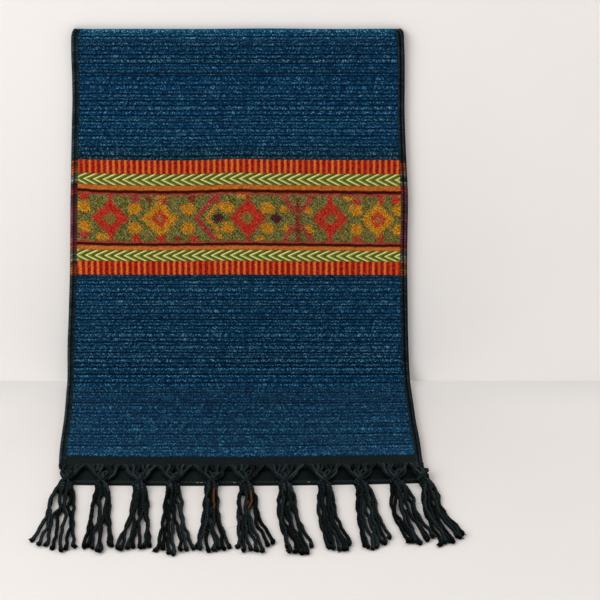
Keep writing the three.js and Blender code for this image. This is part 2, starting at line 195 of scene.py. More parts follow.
def fan(row, left, right):
    """Triangles from a row of points to the two points across from it."""
    half = len(row) // 2
    across = np.where(np.arange(len(row) - 1) < half, left, right)
    triangles = np.stack([across, row[1:], row[:-1]], 1)
    return np.concatenate([triangles, [[left, right, row[half]]]])


def shell_faces(rows, columns):
    """Faces of a closed shell whose points are a grid and then the rim of a like grid under it:
    the grid's quads, a wall of quads along the rim, and a plain underside of one quad for each
    pair of rows and a fan of triangles at either end. Also the grid's numbers of its rim."""
    number = np.arange(rows * columns).reshape(rows, columns)
    rim = np.concatenate([number[0, :-1], number[:-1, -1], number[-1, :0:-1], number[:0:-1, 0]])
    under = np.zeros(rows * columns, int)
    under[rim] = rows * columns + np.arange(len(rim))
    after = np.roll(rim, -1)
    wall = np.stack([after, rim, under[rim], under[after]], 1)
    under = under.reshape(rows, columns)
    left, right = under[:, 0], under[:, -1]
    rungs = np.stack([left[2:-1], right[2:-1], right[1:-2], left[1:-2]], 1)
    quads = np.concatenate([grid_faces(rows, columns), wall, rungs])
    fans = np.concatenate([fan(under[0], left[1], right[1]),
                           fan(under[-1], left[-2], right[-2])[:, ::-1]])
    return quads, fans, rim


def faces_outwards(co, loops, starts, sizes):
    """Whether a closed mesh's faces look out: the volume inside, as a sum of tetrahedra from the
    origin to each face's first three corners and to its first, third and last, isn't negative."""
    a, b, c = (co[loops[starts + k]] for k in range(3))
    d = co[loops[starts + sizes - 1]]
    volumes = np.einsum("ij,ij->i", a, np.cross(b, c)) + np.einsum("ij,ij->i", a, np.cross(c, d))
    return volumes.sum() >= 0


def add_mesh(name, points, faces, values, tints=None):
    """A mesh object from points in scarf millimetres and arrays of faces, one array for each
    number of corners. values are numbers or triples at the points; tints are colours at the
    points, or one for each face."""
    mesh = bpy.data.meshes.new(name)
    co = to_frame(points)
    loops = np.concatenate([f.ravel() for f in faces])
    sizes = np.concatenate([np.full(len(f), f.shape[1]) for f in faces])
    starts = np.concatenate([[0], np.cumsum(sizes)[:-1]])
    if not faces_outwards(co, loops, starts, sizes):
        loops = np.concatenate([f[:, ::-1].ravel() for f in faces])
    mesh.vertices.add(len(co))
    mesh.vertices.foreach_set("co", co.ravel())
    mesh.loops.add(len(loops))
    mesh.loops.foreach_set("vertex_index", loops.astype(np.int32))
    mesh.polygons.add(len(starts))
    mesh.polygons.foreach_set("loop_start", starts.astype(np.int32))
    mesh.update(calc_edges=True)
    mesh.validate()
    mesh.shade_smooth()
    for key, value in values.items():
        kind, field = ("FLOAT", "value") if value.ndim == 1 else ("FLOAT_VECTOR", "vector")
        data = mesh.attributes.new(key, kind, "POINT").data
        data.foreach_set(field, value.astype(np.float32).ravel())
    if tints is not None:
        at_points = len(tints) == len(co)
        domain = "POINT" if at_points else "CORNER"
        tints = tints if at_points else np.repeat(tints, sizes, 0)
        rgba = np.concatenate([tints, np.ones((len(tints), 1))], 1).astype(np.float32)
        mesh.attributes.new("tint", "FLOAT_COLOR", domain).data.foreach_set("color", rgba.ravel())
    obj = bpy.data.objects.new(name, mesh)
    bpy.context.scene.collection.objects.link(obj)
    return obj


# ---- the cloth's path ----

def edges_at(layer, along):
    """Left and right x of the cloth: straight between the rows of its table of edges, moved by
    how far the edge strays, and drawn in at the fold by the square of what is left of the
    corner's length."""
    inset = CORNER["inset"] * (1 - np.clip(along / CORNER["length"], 0, 1)) ** 2
    found = []
    for column, side, inwards in ((1, "left", 1), (2, "right", -1)):
        edge = np.interp(along, layer["edges"][:, 0], layer["edges"][:, column]) + inwards * inset
        steady, bells = EDGE_SWAYS[side]
        edge = edge + steady + sum(height * bell((along - middle) / reach)
                                   for middle, reach, height in bells)
        found.append(edge)
    return found


def path_at(layer, along):
    """y, z of the cloth's middle and y, z of the way its outer face looks: a quarter circle at
    the fold, a straight drop in which the layers close up, a quarter circle at the foot, and a
    straight run over the ground."""
    side, middle = layer["side"], layer["middle"]
    centre_y = -(CLOTH + LAYER_GAP / 2)
    turn = np.clip(along / FOLD_MIDDLE, 0, math.pi / 2)
    drop = np.clip(along - FOLD_LENGTH, 0, WALL_LENGTH)
    spread = lerp(FOLD_MIDDLE, (CLOTH + LAYER_GAP) / 2, smooth(drop / FOLD_SETTLE))
    radius = BEND_RADIUS - middle
    beyond = np.maximum(along - BEND_START, 0)
    bend = np.clip(beyond / radius, 0, math.pi / 2)
    run = np.maximum(beyond - radius * math.pi / 2, 0)
    on_fold = along < FOLD_LENGTH
    on_wall = along < BEND_START
    y = np.where(on_fold, centre_y + side * FOLD_MIDDLE * np.sin(turn),
                 np.where(on_wall, centre_y + side * spread,
                          -BEND_RADIUS + radius * np.cos(bend) - run))
    z = np.where(on_fold, TOP_HEIGHT - FOLD_RADIUS + FOLD_MIDDLE * np.cos(turn),
                 np.where(on_wall, TOP_HEIGHT - FOLD_RADIUS - drop,
                          BEND_RADIUS - radius * np.sin(bend)))
    out_y = side * np.where(on_wall, np.sin(turn), np.cos(bend))
    out_z = np.where(on_wall, np.cos(turn), -side * np.sin(bend))
    return y, z, out_y, out_z


def bend_end(layer):
    """Where the layer comes out of its bend at the foot, as a distance from the fold."""
    return BEND_START + (BEND_RADIUS - layer["middle"]) * math.pi / 2


def row_wave(layer, x, along):
    """How far a weft row strays along the cloth: bell curves across and along."""
    along = along - layer["shift"]
    return sum(far * bell((x - x0) / wide) * bell((along - along0) / long)
               for x0, wide, along0, long, far in ROW_SWAYS)


def cloth_points(layer, x, along, lift):
    """Points of the cloth. Towards the corners the ends are a little shorter: the distance from
    the fold shrinks by a square of the place across and by a part of it."""
    left, right = edges_at(layer, along)
    across = (x - left) / (right - left)
    amount = END_RISE["corners"] * (2 * across - 1) ** 2 + END_RISE["right"] * across
    share = smooth((along - END_RISE["start"]) / (layer["length"] - END_RISE["start"]))
    y, z, out_y, out_z = path_at(layer, along - amount * share)
    return np.stack(np.broadcast_arrays(x, y + lift * out_y, z + lift * out_z), -1)


def fold_press(along):
    """How far the outer face sinks at the fold."""
    return FOLD_PRESS["depth"] * (1 - smooth(along / FOLD_PRESS["length"]))


# Slow waves of the cloth: height, and the place across, the place along and the start of each,
# in radians.
SWELLS = ((0.16, 1 / 29, 1 / 47, 1.1), (0.12, 1 / 17, -1 / 31, 0.0), (0.06, 1 / 60, 1 / 9, 0.0))


def unevenness(x, along):
    """A slow swell of the cloth, up to a third of a millimetre: three crossing waves."""
    return sum(height * np.sin(x * across + along * down + begin)
               for height, across, down, begin in SWELLS)


# ---- weaves: each gives, on a grid, the relief of the outer face and what its finish reads ----

MARGIN = 3.0   # the sewn margin inside each rolled edge
MARGIN_COLUMNS = np.array([0, 0.5, 1.0, 1.5, 2.0])


def columns_across(layer, alongs, spacing):
    """x on a grid: even columns over the width, and closer ones along the two sewn margins."""
    left, right = edges_at(layer, alongs)
    left, right = (left + BORDER + SEAM)[:, None], (right - BORDER - SEAM)[:, None]
    count = int(round((right - left).mean() / spacing))
    share = np.linspace(0, 1, count + 1)[1:-1]
    inner = lerp(left + MARGIN, right - MARGIN, share)
    return np.concatenate([left + MARGIN_COLUMNS, inner, right - MARGIN_COLUMNS[::-1]], 1)


def even_rows(start, end, apart):
    """Distances from the fold of rows about that far apart."""
    return np.linspace(start, end, int((end - start) / apart) + 1)


def weave_grid(layer, alongs, spacing):
    """x and distance from the fold on a grid of the given rows and of columns that far apart."""
    x = columns_across(layer, alongs, spacing)
    return x, np.broadcast_to(alongs[:, None], x.shape)


# Cross ribs: distance from the fold, usual pitch there and reach of a groove.
RIBS_ALONG = np.array([(300, 3.4, 0.55), (345, 6.0, 1.1), (480, 6.6, 1.1)])
RIB = {"stray": 0.22, "shallow": (0.22, 0.42), "deep": (0.52, 0.62), "at_seam": 0.25,
       "crown": 0.3, "column": 6.0, "shortest": 1.5, "darkest": 0.5}
RIB_STEPS = np.array([0, 0.13, 0.3, 0.5, 0.7, 0.87])   # rows of the grid in each rib


def rib_rows(start, end):
    """Borders of the cross ribs and how deep each groove is: deep grooves follow each other at
    the distance that is usual there, and the cloth between them is shared out into ribs near the
    usual pitch, which widens where the cloth lies on the ground. Each border in between strays
    by up to a fifth of a rib or so."""
    marks = [start]
    while marks[-1] < end - RIB["shortest"]:
        apart, stray = (np.interp(marks[-1], DEEP_GROOVES[:, 0], DEEP_GROOVES[:, k]) for k in (1, 2))
        marks.append(marks[-1] + apart * rng.uniform(1 - stray, 1 + stray))
    marks[-1] = end
    borders, depths = [start], [RIB["at_seam"]]
    for a, b in zip(marks[:-1], marks[1:]):
        pitch = np.interp((a + b) / 2, RIBS_ALONG[:, 0], RIBS_ALONG[:, 1])
        count = max(1, int(round((b - a) / pitch)))
        steps = np.linspace(a, b, count + 1)[1:]
        steps[:-1] += RIB["stray"] * (b - a) / count * rng.uniform(-1, 1, count - 1)
        borders.extend(steps)
        depths.extend(rng.uniform(*RIB["shallow"], count - 1))
        depths.append(rng.uniform(*RIB["deep"]))
    depths[-1] = RIB["at_seam"]
    return np.array(borders), np.array(depths)


def ribbed_weave(layer, start, end):
    """Cross ribs. Height falls from the crown by the square of the distance to it, and drops
    into a narrow groove, a bell curve, at each border; the groove's depth also sets a painted
    shade in it. The weave's coordinates are x and the number of the rib with its fraction. The
    back layer's ribs fade out where it rests on the ground, and its dyed tone and painted light
    are the front's at the same place of the pattern."""
    borders, depths = rib_rows(start, end)
    numbers = np.append((np.arange(len(borders) - 1)[:, None] + RIB_STEPS).ravel(), len(borders) - 1)
    alongs = np.interp(numbers, np.arange(len(borders)), borders)
    x, along = weave_grid(layer, alongs, RIB["column"])
    number = np.broadcast_to(numbers[:, None], x.shape)
    nearest = np.rint(number).astype(int)
    pitch = np.maximum(np.gradient(borders), 1)[nearest]
    distance = np.abs(number - nearest) * pitch
    reach = np.interp(along, RIBS_ALONG[:, 0], RIBS_ALONG[:, 2])
    groove = depths[nearest] * bell(distance / reach)
    relief = -groove - RIB["crown"] * (number % 1 - 0.5) ** 2
    if layer is BACK:
        relief = relief * (1 - smooth((along - bend_end(layer) + BEND_RADIUS) / 10))
    on_front = along - layer["shift"] * (along > UPPER_PANEL_END / 2)
    # The blue's dyed tone, with a painted highlight at the fold and painted light on the lower hanging
    # stretch.
    dye = np.stack([np.interp(on_front, DYE_AND_PAINTED_LIGHT[:, 0], DYE_AND_PAINTED_LIGHT[:, k]) for k in (1, 2, 3)], -1)
    # The groove's depth, as a share of the darkest, sets the painted shade in the grooves.
    values = {"weave": np.stack([x, number, along], -1), "groove": groove / RIB["darkest"],
              "dye": dye}
    return x, along, relief, values, None


ORANGE = linear(224, 112, 48)
RED_ORANGE = linear(202, 64, 26)
DARK_RED = linear(136, 17, 10)
PINK_FLECK = linear(200, 80, 60)
CREAM = linear(236, 226, 150)
LEAF = linear(112, 136, 34)
MOSS = linear(78, 96, 18)
OCHRE = linear(190, 110, 38)
MAROON = linear(58, 14, 8)
BRICK = linear(170, 71, 54)


# Painted shade between the braid's yarns.
BRAID_GAP_SHADE = linear(54, 46, 8)


def glow_of(start, lower):
    """How light the yarns are: those of the band's lower half are a little lighter."""
    return 1.0 if start < BAND_ENDS["band_4_motifs"] else lower


STRIPE = {"pitch": 5.02, "row": 0.62, "columns": 9, "wave": 0.02, "ridge": 0.25, "wider": 0.12,
          "ripple": 0.05, "twist": 2.6, "slant": 1.3, "grain": 0.5, "flecked": 0.16, "glow": 1.12}
CORDS = 400   # cords with a tone and a width of their own


def stripe_weave(layer, start, end):
    """Upright cords, orange with dark red between them: height and colour follow the cosine of the
    place across, and the cords' twist adds a fine slanting ripple. The orange is lighter on the
    cords' crowns, a painted highlight; the dark red between them is partly the yarn's own
    colour and partly painted shade, and the twist makes the colour a little lighter and darker,
    painted light and shade."""
    pitch = STRIPE["pitch"]
    x, along = weave_grid(layer, even_rows(start, end, STRIPE["row"]), pitch / STRIPE["columns"])
    place = x / pitch + STRIPE["wave"] * np.sin(along)
    cord = np.floor(place + 0.5).astype(int)
    tone = rng.random(CORDS)[cord % CORDS]
    wider = STRIPE["wider"] * rng.random(CORDS)[(cord * 7) % CORDS]
    crown = np.cos(2 * math.pi * place) + wider
    twist = np.sin(2 * math.pi * (along / STRIPE["twist"] + place * STRIPE["slant"] + tone))
    relief = STRIPE["ridge"] * (np.clip(crown, -1, 1) - 1) + STRIPE["ripple"] * twist * (crown > 0)
    # Painted highlight on the cords' crowns, painted shade between them and along the twist.
    share = smooth(strayed(crown + 0.22 + 0.08 * twist, STRIPE["grain"]))[..., None]
    bright = lerp(RED_ORANGE, ORANGE, smooth(0.9 * tone - 0.2 + 0.5 * crown)[..., None])
    shade = glow_of(start, STRIPE["glow"]) * strayed(1 + 0.1 * twist, STRIPE["grain"])
    tint = lerp(DARK_RED, bright, share) * shade[..., None]
    fleck = (rng.random(x.shape) < STRIPE["flecked"])[..., None] * (1 - share)
    tint = lerp(tint, PINK_FLECK, 0.7 * fleck)
    return x, along, relief, {"weave": np.stack([x, along, along], -1)}, tint


BRAID = {"pitch": 8.25, "lean": 1.3, "row": 0.5, "column": 0.55, "depth": 0.6, "wave": 0.25,
         "grain": 0.14, "glow": 1.1}
# Yarns of the braid: where each ends, as a share of the pitch, its height and its colour.
BRAID_YARNS = ((0.42, 1.0, CREAM), (0.72, 0.8, LEAF), (1.0, 0.75, MOSS))


def braid_weave(layer, start, end):
    """Chevrons that point to the left: the place across is moved by the distance from the
    band's middle line, and each pitch holds one cream and two green yarns, round on top.
    Between the yarns the colour falls to a dark olive, a painted shade."""
    x, along = weave_grid(layer, even_rows(start, end, BRAID["row"]), BRAID["column"])
    down = (along - start) / (end - start)
    arm = np.abs(2 * down - 1)
    place = ((x + BRAID["wave"] * np.sin(x / 23)) / BRAID["pitch"] - BRAID["lean"] * arm) % 1
    borders = np.array([0.0, *(share for share, _, _ in BRAID_YARNS)])
    heights = np.array([height for _, height, _ in BRAID_YARNS])
    colours = np.stack([colour for _, _, colour in BRAID_YARNS])
    yarn = np.clip(np.searchsorted(borders, place, side="right") - 1, 0, len(heights) - 1)
    local = (place - borders[yarn]) / (borders[yarn + 1] - borders[yarn])
    crown = np.sin(math.pi * local) ** 0.6
    rim = smooth(np.minimum(down, 1 - down) * 14)
    relief = BRAID["depth"] * (crown * rim * heights[yarn] - 1)
    shade = glow_of(start, BRAID["glow"]) * (1 + BRAID["grain"] * rng.standard_normal(x.shape))
    # Painted shade: where a yarn's crown falls away, its colour goes to the dark olive between the
    # yarns.
    on_top = smooth((crown * 1.2 - 0.16) * (0.35 + 0.65 * rim))
    tint = lerp(BRAID_GAP_SHADE, colours[yarn] * shade[..., None], on_top[..., None])
    tint = lerp(BRICK * 0.6, tint, rim[..., None])
    return x, along, relief, {"weave": np.stack([x, along, along], -1)}, tint


# Lines of the upper and of the lower band: how far the ochre reaches, and how light it is.
LINES = {"upper": (3.9, 1.0), "lower": (3.7, 1.15)}
LINE = {"rows": 13, "column": 1.0, "brick": 0.7, "mottle": 0.3, "flecked": 0.2, "ridge": 0.12}


def line_weave(layer, start, end):
    """Plain lines along the weft, mirrored in the lower band: ochre, then maroon, then a little
    brick, with soft wavy borders, each line slightly raised by a cosine."""
    x, along = weave_grid(layer, np.linspace(start, end, LINE["rows"]), LINE["column"])
    upper = start < BAND_ENDS["band_3_line"] + layer["shift"]
    ochre, light = LINES["upper" if upper else "lower"]
    down = (along - start) if upper else (end - along)
    wobbly = down + 0.15 * np.sin(x / 3.1) + 0.1 * np.sin(x / 1.3)
    maroon = smooth((wobbly - ochre) / 0.8 + 0.5)[..., None]
    brick = smooth((wobbly - (end - start) + LINE["brick"]) / 0.5 + 0.5)[..., None]
    mottle = light + LINE["mottle"] * rng.standard_normal(x.shape)[..., None]
    mottled = np.where(rng.random(x.shape)[..., None] < LINE["flecked"], PINK_FLECK, OCHRE)
    tint = lerp(lerp(mottled, MAROON, maroon), BRICK, brick) * np.clip(mottle, 0.5, 1.5)
    relief = LINE["ridge"] * np.cos(2 * math.pi * down / 3.8) - 0.15
    return x, along, relief, {"weave": np.stack([x, along * 2.2, along], -1)}, tint


# ---- the band of diamonds, charted ----

RED = linear(190, 36, 32)
GOLD = linear(200, 132, 28)
PINK = linear(168, 46, 52)
PLUM = linear(84, 16, 42)
WINE = linear(128, 26, 30)
OLIVE = linear(114, 108, 50)
SAGE = linear(132, 126, 82)
DARK_OLIVE = linear(40, 30, 20)
DARK_SAGE = linear(48, 40, 26)
GROUND_YARNS = ((OLIVE, 0.4), (SAGE, 0.2), (linear(74, 88, 36), 0.2), (linear(140, 104, 52), 0.12),
                (linear(58, 66, 34), 0.08))   # of the mottled ground, with the share of each

# Columns: shape, x, distance below the band's middle, half width, half height, yarn.
LOZENGES = [("block", x, y, 5.6, 5.2, GOLD)
            for x in (-131.5, -88.6, -43.1, -9.5, 24.5, 100.3, 136.5) for y in (-9.2, 8.9)]
SMALL_MARKS = [
    ("block", -131, -19, 4.4, 3.6, RED), ("block", -88, -18.5, 3.6, 3.4, PINK),
    ("block", -76, -17.5, 2.4, 2.4, WINE), ("block", -63.5, -16.8, 3.2, 3.4, PINK),
    ("block", -66, -20.5, 6.0, 1.8, GOLD), ("block", -40, -18.2, 3.0, 3.2, WINE),
    ("block", 100.4, -16.5, 3.8, 3.2, PINK), ("block", 121, -18, 2.6, 4.2, RED),
    ("block", 134, -18, 4.0, 3.8, RED), ("block", 94, -19, 4.2, 2.0, GOLD),
    ("block", -132, 17, 4.2, 3.6, PINK), ("block", -88, 18.4, 3.8, 3.2, RED),
    ("block", -66, 18.6, 4.2, 3.2, RED), ("block", -52, 18.4, 3.2, 2.2, WINE),
    ("block", -39, 18.2, 3.2, 3.6, RED), ("block", -117, 17.6, 5.4, 3.0, GOLD),
    ("block", 101, 18.6, 3.4, 3.4, RED), ("block", 121, 18, 2.6, 4.4, RED),
    ("block", 18, 18.4, 4.4, 2.4, GOLD), ("block", 3, -20, 4.6, 2.0, GOLD),
    ("block", -17, 17, 4.0, 2.4, GOLD), ("block", 60, 9.5, 3.4, 3.6, GOLD),
    ("block", 60, -8.0, 3.2, 3.6, GOLD), ("block", 38.5, -8.6, 3.0, 3.8, GOLD),
    ("block", 40.5, 9.2, 3.4, 3.6, GOLD), ("block", -18, -16.5, 2.4, 4.4, PINK),
]
FIELD_SHAPES = [
    *LOZENGES, *SMALL_MARKS,
    ("diamond", -109.5, 0, 16.4, 17.2, RED), ("bar", -108.6, 0, 1.5, 23, RED),
    ("diamond", -109.5, 0.6, 6.6, 6.6, OLIVE),
    ("diamond", 7.8, 0, 16.0, 17.2, RED), ("bar", 8.6, 0, 1.6, 21, RED),
    ("diamond", 7.4, 0, 6.4, 6.2, OLIVE),
    ("diamond", 78.2, -0.4, 15.6, 17.2, RED), ("bar", 77.8, 0, 1.9, 23, RED),
    ("diamond", 78.4, -0.4, 5.8, 5.8, OLIVE),
    ("diamond", -67.2, 0, 16.2, 17.0, GOLD), ("diamond", -67.2, 0, 8.2, 8.2, RED),
    ("diamond", -67.2, 0, 3.2, 3.0, SAGE),
    ("diamond", 118.7, 0, 14.6, 16.0, GOLD), ("diamond", 118.7, 0, 7.4, 8.2, RED),
    ("diamond", 118.7, 0, 2.8, 2.8, SAGE),
    ("arrow", -36.0, 0, 2.6, 20, PINK), ("arrow", -27.2, 0, 1.9, 13, GOLD),
    ("cross", 50.3, 0, 2.2, 21, PINK), ("bar", 50.3, 3, 1.8, 20, WINE),
    ("diamond", -17.3, 0, 6.2, 5.4, DARK_OLIVE), ("diamond", -17.3, 0, 3.8, 3.6, PLUM),
    ("diamond", 32.4, 0, 6.0, 5.2, DARK_SAGE), ("diamond", 32.4, 0, 3.9, 3.8, PLUM),
]


def inside_shape(shape, dx, dy, half_width, half_height):
    """Which cells a mark covers: the sum of the shares of its half sizes is at most one in a
    diamond, a high power's sum in a block, both shares in a bar; an arrow and a cross are
    strips at a slant on either side of the middle line."""
    across, down = np.abs(dx) / half_width, np.abs(dy) / half_height
    if shape == "diamond":
        return across + down <= 1
    if shape == "block":
        return across ** 2.4 + down ** 2.4 <= 1
    if shape == "bar":
        return (across <= 1) & (down <= 1)
    if shape == "arrow":
        return (np.abs(dx - 0.8 * np.abs(dy)) <= half_width) & (down <= 1)
    return (np.abs(np.abs(dx) - 0.58 * np.abs(dy)) <= half_width) & (down <= 1) & (np.abs(dy) > 5)


FLOAT_SIZE = {"front": 0.82, "back": 1.6}   # one float of yarn; the hidden side is coarser
MOTIF = {"stray": 2.0, "worn": 0.28, "rim": 0.4, "rim_stray": 1.0, "moved": 0.24, "shades": 0.26,
         "dark": 0.08, "rough": 0.14}
TWILL = np.array([1.22, 1.0, 0.74, 0.96])   # how light the floats are, four by four at a slant


def motif_weave(layer, start, end):
    """Diamonds, lozenges and zigzags on mottled olive. Each face of the grid is one float of
    yarn with its own shade; marks are painted in turn, with edges that stray by about a float,
    and some floats show the colour next to them. The relief is random."""
    size = FLOAT_SIZE[layer["name"]]
    x, along = weave_grid(layer, even_rows(start, end, size), size)
    cx = (x[:-1, :-1] + x[1:, 1:]) / 2
    cy = (along[:-1, :-1] + along[1:, 1:]) / 2 - (start + end) / 2
    colours = np.stack([colour for colour, _ in GROUND_YARNS])
    tint = colours[rng.choice(len(colours), cx.shape, p=[share for _, share in GROUND_YARNS])]
    for shape, x0, y0, half_width, half_height, yarn in FIELD_SHAPES:
        dx, dy = strayed(cx - x0, MOTIF["stray"]), strayed(cy - y0, MOTIF["stray"])
        hit = inside_shape(shape, dx, dy, half_width, half_height)
        worn = MOTIF["worn"] * rng.random(cx.shape)[..., None]
        tint = np.where(hit[..., None], lerp(yarn, tint, worn), tint)
    rim = (end - start) / 2 - MOTIF["rim"] - MOTIF["rim_stray"] * rng.random(cx.shape)
    tint = np.where((np.abs(cy) > rim)[..., None], BRICK, tint)
    moved = rng.random(cx.shape) < MOTIF["moved"]
    tint = np.where(moved[..., None], np.roll(tint, (1, 2), (0, 1)), tint)
    row, column = np.indices(cx.shape)
    lean = np.where(row // 5 % 2 == 0, 1, -1)
    twill = TWILL[(column + lean * row) % len(TWILL)]
    shade = twill * np.exp(MOTIF["shades"] * rng.standard_normal(cx.shape))
    dark = rng.random(cx.shape) < MOTIF["dark"]
    tint = tint * np.where(dark, 0.35, np.clip(shade, 0.4, 1.8))[..., None]
    relief = -0.2 + MOTIF["rough"] * rng.standard_normal(x.shape).clip(-1.5, 1.5)
    return x, along, relief, {"weave": np.stack([x, along * 2, along], -1)}, tint.reshape(-1, 3)


END_STRIP = {"row": 0.7, "column": 4.0, "hem": 6.2, "edge": 1.0, "step": 0.2, "pitch": 1.7,
             "waves": 0.05}


def plain_weave(layer, start, end):
    """The black end: a flat weave with faint rows, a slow wave and a turned hem, a low step near
    the end that falls off at the edge. The back's rests on the ground and is flat."""
    x, along = weave_grid(layer, even_rows(start, end, END_STRIP["row"]), END_STRIP["column"])
    to_end = end - along
    hem = smooth(END_STRIP["hem"] - to_end) - 0.9 * smooth(END_STRIP["edge"] - to_end)
    relief = (-0.25 + END_STRIP["step"] * hem
              + END_STRIP["waves"] * np.sin(2 * math.pi * along / END_STRIP["pitch"])
              + 0.06 * np.sin(x / 5 + along / 2))
    if layer is BACK:
        relief = np.zeros(x.shape)
    weave = np.stack([x, along / END_STRIP["pitch"], along], -1)
    return x, along, relief, {"weave": weave}, None


# ---- finishes ----

class Nodes:
    """Adds shader nodes to a tree and links them. An input is a number, a colour or a socket."""

    def __init__(self, tree):
        self.tree = tree

    def feed(self, node, inputs):
        for key, value in inputs.items():
            socket = node.inputs[key]
            if isinstance(value, bpy.types.NodeSocket):
                self.tree.links.new(value, socket)
            elif socket.type == "RGBA":
                socket.default_value = (*value, 1.0)
            else:
                socket.default_value = value
        return node

    def add(self, kind, inputs=None, **settings):
        node = self.tree.nodes.new("ShaderNode" + kind)
        for key, value in settings.items():
            setattr(node, key, value)
        return self.feed(node, inputs or {})

    def group(self, tree, inputs):
        return self.add("Group", inputs, node_tree=tree)

    def attribute(self, name, output):
        return self.add("Attribute", attribute_name=name).outputs[output]

    def math(self, operation, *values):
        return self.add("Math", dict(enumerate(values)), operation=operation).outputs[0]

    def arch(self, share):
        """Nought at both ends of the share and one in its middle: 4 t (1 - t)."""
        rest = self.math("SUBTRACT", 1.0, share)
        return self.math("MULTIPLY", self.math("MULTIPLY", share, rest), 4.0)

    def weighted_sum(self, terms):
        """The sum of sockets, each times its weight."""
        total = 0.0
        for socket, weight in terms:
            total = self.add("Math", {0: socket, 1: weight, 2: total},
                             operation="MULTIPLY_ADD").outputs[0]
        return total

    def mix(self, factor, a, b, blend="MIX"):
        node = self.add("Mix", {0: factor, 6: a, 7: b}, data_type="RGBA", blend_type=blend)
        return node.outputs[2]

    def ramp(self, factor, stops):
        """A colour by its factor, between stops of a place and a colour."""
        node = self.add("ValToRGB", {0: factor})
        elements = node.color_ramp.elements
        while len(elements) < len(stops):
            elements.new(0.5)
        for element, (place, colour) in zip(elements, stops):
            element.position = place
            element.color = (*colour, 1.0)
        return node.outputs[0]

    def vector(self, x, y, z=0.0):
        return self.add("CombineXYZ", {0: x, 1: y, 2: z}).outputs[0]


def new_group(name, inputs, outputs):
    """An empty shader group with named inputs and outputs, its nodes and its two end nodes."""
    tree = bpy.data.node_groups.new(name, "ShaderNodeTree")
    for key, kind, value in inputs:
        socket = tree.interface.new_socket(key, in_out="INPUT", socket_type="NodeSocket" + kind)
        if value is not None:
            socket.default_value = value
    for key, kind in outputs:
        tree.interface.new_socket(key, in_out="OUTPUT", socket_type="NodeSocket" + kind)
    nodes = Nodes(tree)
    return tree, nodes, tree.nodes.new("NodeGroupInput"), tree.nodes.new("NodeGroupOutput")


def make_yarn_rows():
    """Rows of slanting stitches. Place's first number runs along the row, its second counts the
    rows. Each stitch is a rounded patch, and rows slant in turn to either side."""
    tree, n, start, end = new_group(
        "yarn_rows",
        [("Place", "Vector", None), ("Stitch", "Float", 2.6), ("Slant", "Float", 0.9)],
        [("Height", "Float"), ("Stitch Shade", "Float"), ("Row Shade", "Float")])
    place = n.add("SeparateXYZ", {0: start.outputs["Place"]})
    row = n.math("FLOOR", place.outputs[1])
    down = n.math("FRACT", place.outputs[1])
    turn = n.math("SUBTRACT", n.math("MULTIPLY", n.math("MODULO", row, 2.0), 2.0), 1.0)
    lean = n.math("MULTIPLY", n.math("MULTIPLY", n.math("SUBTRACT", down, 0.5), turn),
                  start.outputs["Slant"])
    wobble = n.add("TexNoise", {"Vector": n.vector(n.math("MULTIPLY", place.outputs[0], 0.3), row),
                                "Scale": 1.0, "Detail": 1.0}).outputs[0]
    along = n.math("DIVIDE", place.outputs[0], start.outputs["Stitch"])
    along = n.math("ADD", n.math("ADD", along, lean), n.math("MULTIPLY", wobble, 1.2))
    along = n.math("ADD", along, n.math("MULTIPLY", row, 0.37))
    stitch = n.math("FLOOR", along)
    across = n.math("FRACT", along)
    height = n.math("POWER", n.math("MULTIPLY", n.arch(across), n.arch(down)), 0.6)
    shade = n.add("TexWhiteNoise", {"Vector": n.vector(stitch, row)}, noise_dimensions="3D")
    row_shade = n.add("TexWhiteNoise", {"Vector": n.vector(row, 3.5)}, noise_dimensions="3D")
    n.tree.links.new(height, end.inputs["Height"])
    n.tree.links.new(shade.outputs[0], end.inputs["Stitch Shade"])
    n.tree.links.new(row_shade.outputs[0], end.inputs["Row Shade"])
    return tree


def make_flecks():
    """Small uneven specks, about a yarn wide, and a slower change of depth of colour."""
    tree, n, start, end = new_group(
        "flecks", [("Place", "Vector", None), ("Size", "Float", 0.9)],
        [("Speck", "Float"), ("Drift", "Float")])
    scaled = n.add("VectorMath", {0: start.outputs["Place"],
                                  "Scale": n.math("DIVIDE", 1.0, start.outputs["Size"])},
                   operation="SCALE").outputs[0]
    speck = n.add("TexNoise", {"Vector": scaled, "Scale": 1.0, "Detail": 2.0, "Roughness": 0.7})
    stretched = n.add("VectorMath", {0: start.outputs["Place"], 1: (0.03, 0.75, 0.02)},
                      operation="MULTIPLY").outputs[0]
    drift = n.add("TexNoise", {"Vector": stretched, "Scale": 1.0, "Detail": 2.0})
    n.tree.links.new(speck.outputs[0], end.inputs["Speck"])
    n.tree.links.new(drift.outputs[0], end.inputs["Drift"])
    return tree


def new_material(name):
    """An empty material and its nodes."""
    material = bpy.data.materials.new(name)
    material.use_nodes = True
    material.node_tree.nodes.clear()
    return material, Nodes(material.node_tree)


def woollen(name, build, sheen=0.02, roughness=0.95, shine=0.05):
    """A woollen finish: build returns the colour, the height of the yarn's bumps from nought to
    one, and how deep they are in millimetres."""
    material, n = new_material(name)
    colour, height, depth = build(n)
    bump = n.add("Bump", {"Strength": 1.0, "Distance": depth / METRE, "Height": height})
    shader = n.add("BsdfPrincipled", {
        "Base Color": colour, "Roughness": roughness, "Normal": bump.outputs[0],
        "Specular IOR Level": shine, "Sheen Weight": sheen, "Sheen Roughness": 0.5})
    n.add("OutputMaterial", {0: shader.outputs[0]})
    return material


